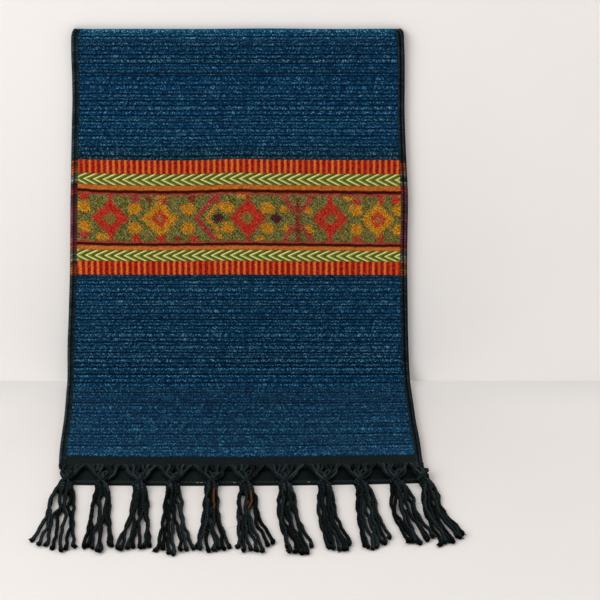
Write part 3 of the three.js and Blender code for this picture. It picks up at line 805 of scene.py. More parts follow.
def build_blue(n):
    """Heathered blue: each stitch takes a tone from navy to light blue, and is painted lighter on
    the crowns of its stitches and ribs and darker between them, a painted highlight and shade;
    ribs drift to teal and slate, and the grooves between ribs are painted nearly black, a painted
    shade."""
    place = n.attribute("weave", "Vector")
    finer = n.add("VectorMath", {0: place, 1: (1.0, 4.0, 1.0)}, operation="MULTIPLY").outputs[0]
    ribs = n.group(yarn_rows, {"Place": place, "Stitch": 2.6, "Slant": 0.6})
    stitches = n.group(yarn_rows, {"Place": finer, "Stitch": 0.85, "Slant": 0.3})
    flecks = n.group(specks, {"Place": place, "Size": 0.7})
    # Painted highlight and shade: the two Height terms lighten the crowns of stitches and ribs and
    # darken the gaps between them; the Shade terms are the yarns' own tones.
    shade = n.weighted_sum([
        (stitches.outputs["Stitch Shade"], 0.55), (stitches.outputs["Height"], 0.2),
        (ribs.outputs["Stitch Shade"], 0.1), (ribs.outputs["Height"], 0.14),
        (ribs.outputs["Row Shade"], 0.07)])
    base = n.ramp(shade, [(0.2, linear(0, 15, 40)), (0.5, linear(5, 41, 68)),
                          (0.75, linear(16, 68, 96)), (1.0, linear(104, 154, 174))])
    drift = n.math("ADD", flecks.outputs["Drift"],
                   n.math("MULTIPLY", n.math("SUBTRACT", ribs.outputs["Row Shade"], 0.5), 0.3))
    tone = n.ramp(drift, [(0.2, (0.75, 0.85, 0.85)), (0.42, (0.9, 0.98, 1.03)),
                          (0.58, (1.1, 0.97, 1.0)), (0.75, (0.88, 1.03, 0.97))])
    base = n.mix(1.0, base, tone, "MULTIPLY")
    # The dyed tone, with a painted highlight at the fold and painted light on the lower hanging
    # stretch.
    base = n.mix(1.0, base, n.attribute("dye", "Vector"), "MULTIPLY")
    # Painted shade: the grooves between ribs are darkened nearly to black.
    base = n.mix(n.math("MULTIPLY", n.attribute("groove", "Fac"), 0.95), base, linear(1, 7, 16))
    black = n.math("SUBTRACT", 1.0, n.attribute("edge", "Fac"))
    base = n.mix(black, base, linear(18, 28, 32))
    return base, ribs.outputs["Height"], 0.35


def build_tinted(n):
    """Coloured yarns: the colour charted on the cloth, flecked, and black in the sewn margin."""
    flecks = n.group(specks, {"Place": n.attribute("weave", "Vector"), "Size": 0.8})
    light = n.ramp(flecks.outputs["Speck"], [(0.3, (0.62, 0.6, 0.58)), (0.52, (1.0, 1.0, 1.0)),
                                             (0.7, (1.3, 1.3, 1.3))])
    base = n.mix(1.0, n.attribute("tint", "Color"), light, "MULTIPLY")
    black = n.math("SUBTRACT", 1.0, n.attribute("edge", "Fac"))
    base = n.mix(black, base, linear(20, 22, 20))
    return base, flecks.outputs["Speck"], 0.5


def build_black(n):
    """Black with a green cast: faint rows, painted as shade between their stitches, and a few greyer
    flecks.
    """
    place = n.attribute("weave", "Vector")
    rows = n.group(yarn_rows, {"Place": place, "Stitch": 1.9, "Slant": 0.5})
    flecks = n.group(specks, {"Place": place, "Size": 1.0})
    base = n.ramp(flecks.outputs["Drift"], [(0.35, linear(17, 28, 27)), (0.65, linear(22, 29, 33))])
    # Painted shade: darker where the rows' height is low, between the stitches.
    base = n.mix(n.math("MULTIPLY", n.math("SUBTRACT", 1.0, rows.outputs["Height"]), 0.4),
                 base, linear(9, 13, 14))
    return base, rows.outputs["Height"], 0.18


def build_cord(n):
    """Yarn of the fringe, of the edges and of the hem's stitches: the tint that it has on the
    mesh, flecked with fine fibres."""
    place = n.attribute("weave", "Vector")
    flecks = n.group(specks, {"Place": place, "Size": 0.5})
    light = n.ramp(flecks.outputs["Speck"], [(0.35, (0.55, 0.55, 0.55)), (0.55, (1.0, 1.0, 1.0)),
                                             (0.72, (1.7, 1.7, 1.7))])
    base = n.mix(1.0, n.attribute("tint", "Color"), light, "MULTIPLY")
    return base, flecks.outputs["Speck"], 0.25


yarn_rows = make_yarn_rows()
specks = make_flecks()
FINISHES = {
    "blue_ground": woollen("blue_wool", build_blue),
    "tinted": woollen("coloured_yarns", build_tinted),
    "black_end": woollen("black_wool", build_black, sheen=0.01),
    "cord": woollen("twisted_black_yarn", build_cord, sheen=0.0, roughness=0.8, shine=0.03),
}


def finish(obj, material, slot, *nodes):
    """Gives a piece its finish, puts it on the root body and hides the solids that it stands for, if
    any. slot is not used.
    """
    obj.data.materials.append(FINISHES[material])
    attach(obj, "root")
    if nodes:
        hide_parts(*nodes)
    return obj


# ---- cloth pieces ----

SEWN = {"ends": 1.3, "over": 0.5, "lower": 0.15}   # the smooth part of the sewn margin


def cloth_piece(layer, stretch, start, end, weave, material, slot):
    """One stretch of a layer: a closed shell of the woven outer face, a plain inner face and the
    four edges. The outer face is the cloth's own surface lifted by the weave's relief and the
    slow swell, both of which fade out at the sewn margin, and pressed at the fold."""
    x, along, relief, values, tint = weave(layer, start, end)
    left, right = edges_at(layer, along)
    inset = np.minimum(x - left, right - x) - BORDER - SEAM
    edge = smooth((inset - SEWN["ends"]) / SEWN["over"])
    lying = smooth((along - BEND_START) / 12) if layer is BACK else 0.0
    swell = unevenness(x, along) * smooth(inset / 6) * (1 - lying)
    lift = CLOTH / 2 + relief * edge + swell - SEWN["lower"] * (1 - edge) - fold_press(along)
    moved = along + row_wave(layer, x, along) * smooth(inset / MARGIN + 0.3)
    quads, fans, rim = shell_faces(*x.shape)
    outer = cloth_points(layer, x, moved, lift).reshape(-1, 3)
    inner = cloth_points(layer, x, moved, -CLOTH / 2).reshape(-1, 3)[rim]
    numbers = np.concatenate([np.arange(len(outer)), rim])
    at_points = {key: value.reshape(len(outer), *value.shape[2:])[numbers]
                 for key, value in {**values, "edge": edge}.items()}
    if tint is not None and tint.ndim == 3:   # a colour at each point
        tint = tint.reshape(-1, 3)[numbers]
    elif tint is not None:                    # a colour for each face of the outer side
        hidden_faces = len(quads) + len(fans) - len(tint)
        tint = np.concatenate([tint, np.tile(OLIVE, (hidden_faces, 1))])
    obj = add_mesh(f"{layer['name']}_{stretch}_cloth", np.concatenate([outer, inner]),
                   [quads, fans], at_points, tint)
    return finish(obj, material, slot, f"{layer['name']}_{stretch}")


STRETCHES = {   # of the patterned band: weave and slot
    "band_1_stripe": (stripe_weave, "orange_stripe"), "band_2_braid": (braid_weave, "green_braid"),
    "band_3_line": (line_weave, "ochre_line"), "band_4_motifs": (motif_weave, "motif_field"),
    "band_5_line": (line_weave, "ochre_line"), "band_6_braid": (braid_weave, "green_braid"),
    "band_7_stripe": (stripe_weave, "orange_stripe"),
}


def layer_of_cloth(layer):
    """All stretches of one layer, from the fold to the end, each with its flat size in metres:
    its width between the borders, halfway between its two ends, and its length."""
    shift = layer["shift"]
    panel_end = layer["length"] - BACK_END_STRIP if layer is BACK else LOWER_PANEL_END
    plan = [("upper_panel", 0.0, UPPER_PANEL_END + shift, ribbed_weave, "blue_ground", "blue_ground")]
    start = UPPER_PANEL_END + shift
    for stretch, (weave, slot) in STRETCHES.items():
        end = BAND_ENDS[stretch] + shift
        plan.append((stretch, start, end, weave, "tinted", slot))
        start = end
    plan.append(("lower_panel", start, panel_end, ribbed_weave, "blue_ground", "blue_ground"))
    plan.append(("end_strip", panel_end, layer["length"], plain_weave, "black_end", "black_end"))
    pieces = {}
    for stretch, begin, end, weave, material, slot in plan:
        obj = cloth_piece(layer, stretch, begin, end, weave, material, slot)
        left, right = edges_at(layer, np.array([begin, end]))
        width = float((right - left).mean() - 2 * (BORDER + SEAM))
        pieces[stretch] = (obj, (width / METRE, (end - begin) / METRE))
    return pieces


# ---- rolled edges ----

BORDER_COLOURS = {   # the two yarns of the edge beside each stretch
    "upper_panel": (linear(54, 74, 84), linear(34, 48, 56)),
    "band_1_stripe": (linear(196, 104, 62), linear(120, 48, 30)),
    "band_2_braid": (linear(150, 150, 136), linear(16, 18, 17)),
    "band_3_line": (linear(196, 70, 84), linear(120, 44, 44)),
    "band_4_motifs": (linear(158, 66, 92), linear(64, 70, 52)),
    "band_5_line": (linear(170, 74, 60), linear(110, 44, 36)),
    "band_6_braid": (linear(160, 160, 140), linear(18, 20, 18)),
    "band_7_stripe": (linear(190, 110, 62), linear(110, 54, 30)),
    "lower_panel": (linear(54, 72, 80), linear(34, 46, 54)),
}


BORDER_BLACK = linear(13, 17, 18)

# Beads of a rolled edge: how light they are, where on a lobe their painted highlight lies
# and how wide it is, in radians, and how light they are in the crease between the lobes,
# where they are darkened by painted shade.
EDGE_BEADS = {"left": (1.0, 1.5, 0.7, 0.454), "right": (0.6, 1.9, 0.5, 0.099)}
BEADS = 300   # beads with a colour of their own
EDGE = {"row": 0.75, "outer": 3.1, "inner": 2.7, "proud": 0.75, "bead": 2.45, "slant": 4.0,
        "crease": 0.55, "crease_bead": 3.3, "ripple": 0.16, "shrink": 0.14, "pressed": 0.22}


def edge_section():
    """The section of a rolled edge, from the outer side over the top and back underneath: how
    far in, how high as a share, and where around its lobe each point is, in radians. The outer
    lobe is an arch, the sine of its angle to a power, and after a crease a lower arch lies over
    the cloth's margin; three points close the section below."""
    outer = np.linspace(0, math.pi, 11)
    inner = np.linspace(math.pi, 0, 7)[1:]
    inset = np.concatenate([EDGE["outer"] / 2 * (1 - np.cos(outer)),
                            EDGE["outer"] + EDGE["inner"] / 2 * (1 + np.cos(inner)),
                            [BORDER, BORDER, 0.5]])
    share = np.concatenate([np.sin(outer) ** 0.7, 0.35 + 0.55 * np.sin(inner) ** 0.7, [0.62, 0, 0]])
    share[len(outer) - 1] = EDGE["crease"]
    around = np.concatenate([outer, inner + 1.0, [0, 0, 0]])
    return inset, np.clip(share, 0, 1), around


def edge_tint(layer, side, along, around, sewing):
    """Colour of a rolled edge: a mix of the stretch's own two yarns, one bead after the other,
    with a painted highlight along each lobe, by a bell curve, painted shade in the crease
    between the lobes, and crossed by black sewing."""
    strength, middle, width, in_crease = EDGE_BEADS[side]
    ends = np.array([UPPER_PANEL_END, *BAND_ENDS.values()]) + layer["shift"]
    yarns = np.array(list(BORDER_COLOURS.values()))[np.searchsorted(ends, along)]
    crease = around > math.pi
    bead = np.floor(along / EDGE["bead"] + around / EDGE["slant"]).astype(int) % BEADS
    share, shade = rng.random((2, 2, BEADS))[:, crease.astype(int), bead][..., None]
    yarn = lerp(yarns[..., 1, :], yarns[..., 0, :], share ** 0.7) * (0.5 + 0.9 * shade)
    # Painted highlight along each lobe's ridge, and painted shade in the crease.
    ridge = strength * (0.35 + 1.35 * bell((around - middle) / width))
    ridge = np.where(crease, in_crease, ridge)[..., None]
    return lerp(BORDER_BLACK, yarn * ridge, smooth(sewing * 2.4 - 0.35)[..., None])


def rolled_edge(layer, side):
    """A rolled and oversewn edge, its section carried along the side of the cloth. The sewing is
    a slanting ripple, a sine, along the lobes. The edge is lower at the fold, and flatter where
    the back layer rests on the ground."""
    alongs = even_rows(0, layer["length"], EDGE["row"])
    inset, share, around = edge_section()
    base, top = -CLOTH / 2, CLOTH / 2 + EDGE["proud"]
    height = (top - base) * share
    above = np.arange(len(inset)) < len(inset) - 3
    pressed = smooth((alongs - BEND_START) / 20)[:, None] if layer is BACK else 0.0
    wraps = 0.5 + 0.5 * np.sin(2 * math.pi * (alongs[:, None] / EDGE["bead"] + around / EDGE["slant"]))
    lift = base + height * (1 - EDGE["pressed"] * pressed * (height > 2.3))
    lift = lift - 1.6 * fold_press(alongs)[:, None] * (height > 1.0)
    lift = lift + above * (share > 0.3) * EDGE["ripple"] * (wraps - 0.5) * (1 - pressed)
    lift[:, 0] = base + 0.5
    drawn_in = EDGE["shrink"] * (0.5 - wraps) * (around < 0.8) * above
    left, right = edges_at(layer, alongs)
    edge, inwards = (left, 1) if side == "left" else (right, -1)
    x = edge[:, None] + inwards * (inset + drawn_in)
    along, around = np.broadcast_arrays(alongs[:, None], around)
    rings = cloth_points(layer, x, along, lift)
    points = np.concatenate([rings.reshape(-1, 3), rings[[0, -1]].mean(1)])
    in_crease = 0.5 + 0.45 * np.sin(2 * math.pi * along / EDGE["crease_bead"] + 1.0)
    sewing = np.where(around > math.pi, in_crease, wraps)
    tint = with_ends(edge_tint(layer, side, along, around, sewing))
    weave = with_ends(np.stack([x, along, around], -1))
    obj = add_mesh(f"{layer['name']}_{side}_edge", points, tube_faces(*x.shape), {"weave": weave}, tint)
    return finish(obj, "cord", "black_border", f"{layer['name']}_border_{side}")


# ---- fringe ----

# Columns: knot x, y, waist left and right x, tips' left and right x, tips' left and right y.
TASSELS = np.array([
    (-139.9, -203.0, -152.5, -130.2, -162.4, -126.7, -311, -317),
    (-110.5, -205.5, -117.7, -101.1, -121.6, -96.2, -316, -317),
    (-79.7, -206.5, -85.7, -70.1, -95.4, -65.8, -317, -317),
    (-52.1, -206.0, -59.0, -42.4, -62.6, -32.0, -321, -319),
    (-20.1, -206.0, -26.7, -13.0, -31.0, -3.0, -316, -315),
    (8.0, -206.0, 1.0, 18.5, 2.5, 32.6, -322, -317),
    (40.3, -206.0, 33.4, 50.4, 41.0, 63.4, -322, -321),
    (72.5, -205.0, 66.0, 81.9, 73.0, 94.4, -316, -316),
    (101.9, -203.5, 97.8, 115.4, 102.0, 125.8, -314, -308),
    (131.4, -201.5, 125.5, 146.6, 137.0, 160.4, -307, -301),
    (153.9, -197.5, 151.6, 167.4, 164.4, 184.9, -313, -293),
])
ROOT_SHARES = (0.0, 0.09, 0.32, 0.46, 0.6, 0.74, 0.91, 1.0)   # where the roots leave the hem
TASSEL = {"strands": 7, "radius": 1.6, "root_radius": 1.75, "knot_height": 5.0,
          "low": 1.8, "middle": 3.0, "high": 4.2, "bow": 7.0, "stray": 0.05,
          "neck": 0.3, "neck_end": 0.18}
# Levels of a strand: how far down it is, and how far its outline has gone from waist to tips.
LEVELS = np.array([(0.0, 0.0), (0.1, 0.0), (0.2, 0.0), (0.34, 0.02), (0.5, 0.16), (0.66, 0.4),
                   (0.83, 0.75), (0.96, 0.98)])
# Holes between the strands: how far down, how far they reach and how wide they are, least and
# most. Two in each gap.
HOLES = {"middle": (0.08, 0.88), "reach": (0.1, 0.2), "size": (0.1, 1.0)}
BLACK_YARN = linear(24, 31, 33)
RUST_YARN = linear(84, 42, 20)
BRUSH = {"hairs": 11, "length": 2.2, "radius": 0.65, "spread": 0.3}   # a strand's cut end
FUZZ = {"hairs": 6, "length": 3.0, "radius": 0.09, "spread": 0.2}    # along a strand
RUST_STRANDS = {(4, 4): (0.1, 0.42), (5, 4): (0.14, 0.4)}   # tassel, strand: where it shows


def smooth_route(route, step=1.1):
    """A smooth curve through the points of a route (Catmull and Rom's cubic), in even steps."""
    route = np.asarray(route, float)
    padded = np.vstack([2 * route[0] - route[1], route, 2 * route[-1] - route[-2]])
    t = np.linspace(0, 1, 24, endpoint=False)[:, None]
    spans = [0.5 * (2 * b + (c - a) * t + (2 * a - 5 * b + 4 * c - d) * t ** 2
                    + (3 * b - a - 3 * c + d) * t ** 3)
             for a, b, c, d in zip(padded[:-3], padded[1:-2], padded[2:-1], padded[3:])]
    line = np.vstack([*spans, route[-1:]])
    lengths = measured(line)
    even = np.linspace(0, lengths[-1], max(4, int(lengths[-1] / step) + 1))
    return np.stack([np.interp(even, lengths, line[:, k]) for k in range(3)], 1), even


def measured(line):
    """The distance along a line of each of its points."""
    return np.concatenate([[0], np.cumsum(np.linalg.norm(np.diff(line, axis=0), axis=1))])


def frame_along(line):
    """Heading, sideways and upward directions along a line."""
    heading = np.gradient(line, axis=0)
    heading /= np.linalg.norm(heading, axis=1, keepdims=True)
    aside = np.cross(heading, (0.0, 0.0, 1.0))
    aside /= np.maximum(np.linalg.norm(aside, axis=1, keepdims=True), 1e-6)
    return heading, aside, np.cross(aside, heading)


class Yarns:
    """Many closed yarns gathered into one mesh."""

    def __init__(self):
        self.points, self.quads, self.caps, self.weave, self.tint = [], [], [], [], []
        self.count = 0

    def tube(self, line, radii, angles, shares, tint, lengths):
        """A closed tube: at each step of the line a ring of points, each at its share of the
        radius, and a fan of triangles at either end."""
        _, aside, up = frame_along(line)
        reach = (radii[:, None] * shares)[..., None]
        ring = (line[:, None] + reach * (np.cos(angles)[:, None] * aside[:, None]
                + np.sin(angles)[:, None] * up[:, None]))
        quads, caps = tube_faces(len(line), len(angles))
        place = np.stack(np.broadcast_arrays(
            lengths[:, None] * 0.35 + angles * 0.6, lengths[:, None] * 0.35 - angles,
            float(self.count % 977)), -1)
        self.points += [ring.reshape(-1, 3), line[[0, -1]]]
        self.quads.append(quads[:, ::-1] + self.count)
        self.caps.append(caps[:, ::-1] + self.count)
        self.weave.append(with_ends(place))
        self.tint.append(with_ends(tint))
        self.count += len(line) * len(angles) + 2

    def two_ply(self, line, lengths, radius, pitch, turn, tint, taper=None):
        """A two-ply yarn: the outline of two plies side by side, which turns as it goes on, so
        its reach is a share of the cosine of the angle from the plies' own direction. Its tint is
        painted shade and highlight: darkest between the plies and underneath, lighter on the
        plies, and lightest on a narrow line beside its top."""
        angles = np.linspace(0, 2 * math.pi, 10, endpoint=False)
        across = np.abs(np.cos(angles - 2 * math.pi * lengths[:, None] / pitch - turn))
        shares = 0.76 + 0.24 * across ** 0.8
        radii = np.full(len(line), radius)
        if taper:
            radii = radii * taper(lengths / lengths[-1])
        # Painted shade between the plies and a painted highlight on them; above adds painted shade
        # underneath and a painted highlight line at the upper left.
        ply = 0.05 + 0.6 * across + 1.8 * across ** 6
        above = 0.05 + 0.8 * smooth(0.5 + 0.7 * np.sin(angles)) + 3.2 * bell((angles - 2.1) / 0.4)
        self.tube(line, radii, angles, shares, (ply * above)[..., None] * tint, lengths)

    def hairs(self, starts, headings, hair, tint, chance):
        """Fine hairs: thin three-sided spikes that bend away from their heading by the square of
        the way along them, and stay above the ground."""
        angles = np.array([0.5, 2.6, 4.7])
        t = np.array([0, 0.4, 0.75, 1.0])[:, None]
        radii = hair["radius"] * np.array([1.0, 0.9, 0.65, 0.3])
        tints = np.broadcast_to(tint, (len(t), len(angles), 3))
        for start, heading in zip(starts, headings):
            aim = heading + hair["spread"] * chance.standard_normal(3) * (1, 1, 0.5)
            bend = 0.35 * chance.standard_normal(3) * (1, 1, 0.3)
            reach = hair["length"] * (0.6 + 0.6 * chance.random())
            line = start + reach * (t * aim + t ** 2 * bend)
            line[:, 2] = np.maximum(line[:, 2], 0.35)
            self.tube(line, radii, angles, np.ones((len(t), len(angles))), tints, reach * t[:, 0])

    def object(self, name):
        return add_mesh(name, np.concatenate(self.points),
                        [np.concatenate(self.quads), np.concatenate(self.caps)],
                        {"weave": np.concatenate(self.weave)}, np.concatenate(self.tint))


def hem_place(x, inset, lift):
    """A point of the front layer near its end."""
    return cloth_points(FRONT, np.array(x), np.array(FRONT["length"] - inset), lift).reshape(3)


def root_yarns(yarns, knot, waist, left, right, chance):
    """The yarns that come out of the hem: those from the left cross over to the right under the
    knot and the other way about, in turn above and below each other."""
    lift = CLOTH / 2
    for i, share in enumerate(ROOT_SHARES):
        inner = 0 < i < len(ROOT_SHARES) - 1
        share = share + inner * chance.uniform(-0.05, 0.05)
        x = lerp(left, right, share)
        side = 1 if share < 0.5 else -1
        inner_x = lerp(x, knot[0], 0.16)
        level = (1.3 if i % 2 else -0.5) + 0.5 * chance.uniform(-1, 1)
        reach = lerp(4.4, 1.5, abs(2 * share - 1))
        bulge = inner * chance.uniform(0.6, 3.8) * side
        middle = lerp(hem_place(inner_x, 0, 0.3), knot, 0.5)
        route = [hem_place(lerp(x, knot[0], -0.06), 4.2, lift - 0.9),
                 hem_place(x, 1.8, lift + 0.5), hem_place(inner_x, -1.2, lift + 0.4),
                 middle + (-0.5 * side - bulge, 0, 0.6 + 0.4 * level),
                 knot + (-1.6 * side, 2.6, level), knot + (1.4 * side, -2.4, level),
                 knot + (side * reach + 0.4 * (waist - knot[0]), -8.0, 0.4 * level - 1.0),
                 (waist + side * reach, knot[1] - 15.0, knot[2] - 2.8)]
        tone = BLACK_YARN * chance.uniform(0.3, 1.4)
        yarns.two_ply(*smooth_route(route), TASSEL["root_radius"], 7.0, i, tone)


def knot_loops(yarns, knot, chance):
    """Two slack loops of root yarn that stand up out of the knot and lean to either side."""
    for side in (-1, 1):
        reach, lean = chance.uniform(13, 18), side * chance.uniform(3.2, 5.4)
        route = knot + [(-0.8 * side, -2.0, 1.6), (0.5 * lean, 0.28 * reach, 2.8),
                        (1.1 * lean, 0.66 * reach, 2.6), (0.95 * lean, reach, 1.6),
                        (0.4 * lean, 0.92 * reach, 1.8), (0.1 * lean, 0.5 * reach, 2.6),
                        (0.8 * side, -3.0, 2.0)]
        tone = BLACK_YARN * chance.uniform(0.7, 1.3)
        yarns.two_ply(*smooth_route(route), 1.35, 6.0, side, tone)


def knot_taper(t):
    """Full in the middle and thinner towards both ends: the root of a sine."""
    return 0.6 + 0.4 * np.sin(math.pi * t) ** 0.5


def wound_knot(yarns, knot):
    """Nearly two slanting turns of yarn round the gathered roots, a flattened helix."""
    angle = np.linspace(-0.4 * math.pi, 3.1 * math.pi, 44)
    width = 4.4 + 0.4 * np.sin(angle / 2)
    winding = knot + np.stack([
        width * np.cos(angle), 0.75 * width * np.cos(angle) + 0.6 - 0.36 * angle,
        2.7 * np.sin(angle) + 0.2], 1)
    yarns.two_ply(*smooth_route(winding), 1.3, 4.8, 0.4, 0.5 * BLACK_YARN, knot_taper)


def strand_places(chance):
    """Where each strand lies across its tassel at each level, from nought to one. The strands
    are spread evenly, each strays a little, and long thin holes open between them: at a hole
    both neighbours part, by a bell curve of the way down, and with them less and less the
    strands beyond."""
    count, gaps = TASSEL["strands"], TASSEL["strands"] - 1
    strand, gap = np.arange(count)[:, None], np.arange(gaps)[None, :] + 0.5
    push = np.sign(strand - gap) * np.exp(-0.9 * (np.abs(strand - gap) - 0.5))
    down = LEVELS[:, :1]
    middles = chance.uniform(*HOLES["middle"], (2, 1, gaps))
    holes = bell((down - middles) / chance.uniform(*HOLES["reach"], (2, 1, gaps)))
    holes = (holes * chance.uniform(*HOLES["size"], (2, 1, gaps))).sum(0) * (1 - 0.5 * down)
    moved = np.einsum("sg,lg->ls", push, holes)
    moved += TASSEL["stray"] * chance.standard_normal(moved.shape)
    places = np.clip((np.arange(count) + moved) / gaps, 0, 1)
    places[:, 0], places[:, -1] = 0, 1
    return places


def strand_route(row, places, number, chance):
    """One strand from the knot to its tip, through its place at each level between the outline's
    left and right sides."""
    knot_x, knot_y, waist_left, waist_right, tip_left, tip_right, tip_y_left, tip_y_right = row
    radius, low_z = TASSEL["radius"], TASSEL["low"]
    z = (low_z, TASSEL["high"], TASSEL["middle"])[number % 3]
    last = places[-1]
    tip_y = (lerp(tip_y_left, tip_y_right, last) - 4 * TASSEL["bow"] * last * (1 - last)
             + 11 * chance.random() ** 1.6)
    route = [(knot_x + 8.5 * (places[0] - 0.5), knot_y - 1.0, TASSEL["knot_height"] + z / 4 - 1.0)]
    for (down, spread), place in zip(LEVELS, places):
        left = lerp(waist_left, tip_left, spread) + radius
        right = lerp(waist_right, tip_right, spread) - radius
        neck = TASSEL["neck"] * (1 - smooth(down / TASSEL["neck_end"]))
        left, right = lerp(left, knot_x, neck), lerp(right, knot_x, neck)
        y = lerp(knot_y - 10.0, tip_y, down)
        route.append((lerp(left, right, place), y, lerp(z, low_z, 0.8 * down)))
    x, y, z = route[-1]
    heel = 1.6 * chance.uniform(-1, 1) + 1.2 * (last - 0.5)
    route.append((x + heel, tip_y, z))
    return route


def brush_taper(t):
    """Even, but a little wider at the cut end."""
    return 1 + 0.3 * smooth((t - 0.93) / 0.05)


def loose_strand(yarns, route, turn, tone, chance, rust=None):
    """A kinked two-ply strand with a brush of cut ends and a few hairs. The kinks are small waves
    across and above its heading. rust is where, as shares of its length, a rust-coloured yarn
    shows."""
    line, lengths = smooth_route(route)
    ease = smooth(lengths / 12)
    line[:, 0] += ease * (0.4 * np.sin(2 * math.pi * lengths / 27 + turn)
                          + 0.16 * np.sin(2 * math.pi * lengths / 14 + 2 * turn))
    line[:, 2] += ease * 0.25 * (1 + np.sin(2 * math.pi * lengths / 21 + 3 * turn))
    if rust:
        place = lengths / lengths[-1]
        shown = line[(place > rust[0]) & (place < rust[1])] + (0.2, 0, 0.85 * TASSEL["radius"])
        yarns.two_ply(shown, measured(shown), 0.85, 8.0, turn, RUST_YARN)
    yarns.two_ply(line, measured(line), TASSEL["radius"], 10.0, turn, tone, brush_taper)
    heading = line[-1] - line[-4]
    heading /= np.linalg.norm(heading)
    count = BRUSH["hairs"]
    starts = line[-2] + chance.uniform(-1.4, 1.4, (count, 3)) * (1, 0.5, 0.7)
    yarns.hairs(starts, np.tile(heading, (count, 1)), BRUSH, tone, chance)
    count = FUZZ["hairs"]
    picks = chance.integers(6, len(line) - 4, count)
    outwards = chance.standard_normal((count, 3)) * (0.8, 0.8, 0.35)
    yarns.hairs(line[picks] + (0, 0, 0.6), outwards, FUZZ, tone * 1.2, chance)


def tassel(index):
    """Root yarns gathered from half the way to the neighbouring knots, a wound knot, and loose
    strands that come down to the ground."""
    row = TASSELS[index]
    chance = np.random.default_rng(40 + index)
    yarns = Yarns()
    knot = np.array([row[0], row[1], TASSEL["knot_height"]])
    left, right = (float(v) for v in edges_at(FRONT, FRONT["length"]))
    left = left + 1.5 if index == 0 else (TASSELS[index - 1, 0] + knot[0]) / 2 + 1.0
    right = right - 1.5 if index == len(TASSELS) - 1 else (TASSELS[index + 1, 0] + knot[0]) / 2 - 1.0
    root_yarns(yarns, knot, (row[2] + row[3]) / 2, left, right, chance)
    knot_loops(yarns, knot, chance)
    wound_knot(yarns, knot)
    for i, places in enumerate(strand_places(chance).T):
        route = strand_route(row, places, i, chance)
        tone = BLACK_YARN * chance.uniform(0.15, 1.0)
        loose_strand(yarns, route, 1.7 * i + index, tone, chance, RUST_STRANDS.get((index, i)))
    obj = yarns.object(f"tassel_{index + 1:02d}_yarns")
    return finish(obj, "cord", "black_fringe", f"tassel_{index + 1:02d}")


# Rows of stitches on the back hem: how far from the end, how far they are shifted, and the
# number of the first.
STITCH_ROWS = np.array([(1.6, 0.0, 0), (3.3, 1.3, 7)])
STITCH = {"pitch": 3.4, "length": 2.5, "radius": 0.3, "inset": 6.0}
PALE_STITCHES = (31, 32, 40, 58)   # numbers of the stitches that are pale
PALE_THREAD = linear(150, 150, 142)
GREY_THREAD = linear(56, 62, 62)


def hem_stitching():
    """Machine stitches along the back layer's hem, worked out for all at once: each is a short
    capsule of four rings of six points, closed by a hexagon at either end."""
    left, right = edges_at(BACK, BACK["length"])
    centres = np.arange(float(left) + STITCH["inset"], float(right) - STITCH["inset"], STITCH["pitch"])
    inset, shift, first = STITCH_ROWS.T[:, :, None, None, None]
    angles = np.linspace(0, 2 * math.pi, 6, endpoint=False)
    ring = np.array([-1, -0.75, 0.75, 1.0])[:, None]
    thick = STITCH["radius"] * np.array([0.35, 1.0, 1.0, 0.35])[:, None]
    x = centres[:, None, None] + shift + ring * STITCH["length"] / 2
    along = BACK["length"] - inset + thick * np.cos(angles)
    points = cloth_points(BACK, x, along, -CLOTH / 2 - 0.1 - thick * np.sin(angles)).reshape(-1, 3)
    sides, size = len(angles), len(ring) * len(angles)
    starts = np.arange(0, len(points), size)[:, None, None]
    caps = np.stack([np.arange(sides)[::-1], np.arange(size - sides, size)])
    faces = [(starts + grid_faces(len(ring), sides, closed=True)).reshape(-1, 4),
             (starts + caps).reshape(-1, sides)]
    pale = np.isin(np.arange(len(centres)) + first[:, :, 0, 0], PALE_STITCHES).ravel()
    tint = np.repeat(np.where(pale[:, None], PALE_THREAD, GREY_THREAD), size, 0)
    obj = add_mesh("back_hem_stitches", points, faces, {"weave": points * 0.7}, tint)
    return finish(obj, "cord", "black_end")


# ---- stage ----

CAMERA = {"place": (52.6, -3167.2, 1487.8), "down": 24.0, "lens": 241.44, "sensor": 36,
          "far": 100.0}   # place in millimetres, down in degrees, far in metres
WINDOW = {"place": (-1800, -2100, 1900), "aim": (0, -60, 120), "size": 2.4, "power": 57,
          "colour": (1.0, 0.99, 0.975)}   # size in metres, power in watts
SKY = {"colour": (0.94, 0.93, 0.92, 1), "strength": 0.605}
FLOOR = 9000.0   # to either side
WALL = {"y": 1.75, "to_side": 1500.0, "height": 1700.0}
BACK_LIGHT_REACH = 60.0   # how far from the wall scattered light still comes through it
STAGE_GREY = linear(243, 240, 238)


def stage_plane(name, corners, material):
    """A flat piece of the stage between four corners."""
    mesh = bpy.data.meshes.new(name)
    mesh.from_pydata([tuple(p) for p in to_frame(corners)], [], [(0, 1, 2, 3)])
    obj = bpy.data.objects.new(name, mesh)
    bpy.context.scene.collection.objects.link(obj)
    mesh.materials.append(material)


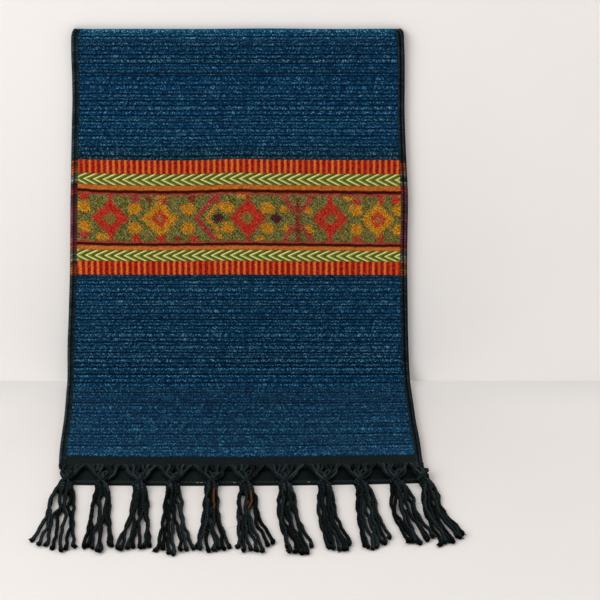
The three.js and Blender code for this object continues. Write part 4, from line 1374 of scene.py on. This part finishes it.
def pale_paint(name, one_sided):
    """Matt pale paint; one-sided paint lets light and sight through from behind, and lets
    scattered light through to what stands closely before it, so that its back isn't dark."""
    material, n = new_material(name)
    grain = n.add("TexNoise", {"Vector": n.add("TexCoord").outputs["Object"], "Scale": 14.0})
    colour = n.ramp(grain.outputs[0], [(0.3, STAGE_GREY * 0.99), (0.7, STAGE_GREY)])
    shader = n.add("BsdfPrincipled", {"Base Color": colour, "Roughness": 0.9,
                                      "Specular IOR Level": 0.1}).outputs[0]
    if one_sided:
        clear = n.add("BsdfTransparent").outputs[0]
        back = n.add("NewGeometry").outputs["Backfacing"]
        ray = n.add("LightPath").outputs
        close = n.math("LESS_THAN", ray["Ray Length"], BACK_LIGHT_REACH / METRE)
        scattered = n.math("MAXIMUM", ray["Is Diffuse Ray"], ray["Is Shadow Ray"])
        open_to = n.math("MAXIMUM", back, n.math("MULTIPLY", close, scattered))
        shader = n.add("MixShader", {0: open_to, 1: shader, 2: clear}).outputs[0]
    n.add("OutputMaterial", {0: shader})
    return material


def build_stage():
    """A floor, and a wall right behind the hanging cloth."""
    stage_plane("floor", [(-FLOOR, -FLOOR, 0), (FLOOR, -FLOOR, 0), (FLOOR, FLOOR, 0),
                          (-FLOOR, FLOOR, 0)], pale_paint("pale_floor", False))
    wide, y, tall = WALL["to_side"], WALL["y"], WALL["height"]
    stage_plane("wall", [(-wide, y, 0), (wide, y, 0), (wide, y, tall), (-wide, y, tall)],
                pale_paint("pale_wall", True))


def build_light():
    """A large soft window, and an even light from all round."""
    light = bpy.data.lights.new("window", "AREA")
    light.shape = "DISK"
    light.size = WINDOW["size"]
    light.energy = WINDOW["power"]
    light.color = WINDOW["colour"]
    window = bpy.data.objects.new("window", light)
    bpy.context.scene.collection.objects.link(window)
    window.location = to_frame(WINDOW["place"])
    heading = Vector(to_frame(WINDOW["aim"]) - to_frame(WINDOW["place"]))
    window.rotation_euler = heading.to_track_quat("-Z", "Y").to_euler()
    window.visible_camera = False
    world = bpy.data.worlds.new("studio")
    world.use_nodes = True
    background = world.node_tree.nodes["Background"]
    background.inputs["Color"].default_value = SKY["colour"]
    background.inputs["Strength"].default_value = SKY["strength"]
    scene = bpy.context.scene
    scene.world = world
    scene.view_settings.view_transform = "Standard"
    scene.view_settings.look = "None"


def build_camera():
    """A camera far in front of the scarf, looking down at it."""
    data = bpy.data.cameras.new("camera")
    data.sensor_width = CAMERA["sensor"]
    data.lens = CAMERA["lens"]
    data.clip_end = CAMERA["far"]
    camera = bpy.data.objects.new("camera", data)
    camera.location = to_frame(CAMERA["place"])
    camera.rotation_euler = (math.radians(90 - CAMERA["down"]), 0, 0)
    bpy.context.scene.collection.objects.link(camera)
    bpy.context.scene.camera = camera


# ---- the scarf ----


def declare_sheets(pieces):
    """Goes through the stretches of a layer and passes over the two lines of the band; nothing
    is declared, and nothing more is done with any of them."""
    lines = [pieces[stretch][0] for stretch in ("band_3_line", "band_5_line")]
    for stretch, (obj, flat) in pieces.items():
        if obj in lines:
            continue


build_camera()
build_stage()
build_light()
front = layer_of_cloth(FRONT)
back = layer_of_cloth(BACK)
edges = {layer["name"]: [rolled_edge(layer, side) for side in ("left", "right")]
         for layer in (FRONT, BACK)}
tassels = [tassel(index) for index in range(len(TASSELS))]
hem = hem_stitching()
declare_sheets(front)
declare_sheets(back)
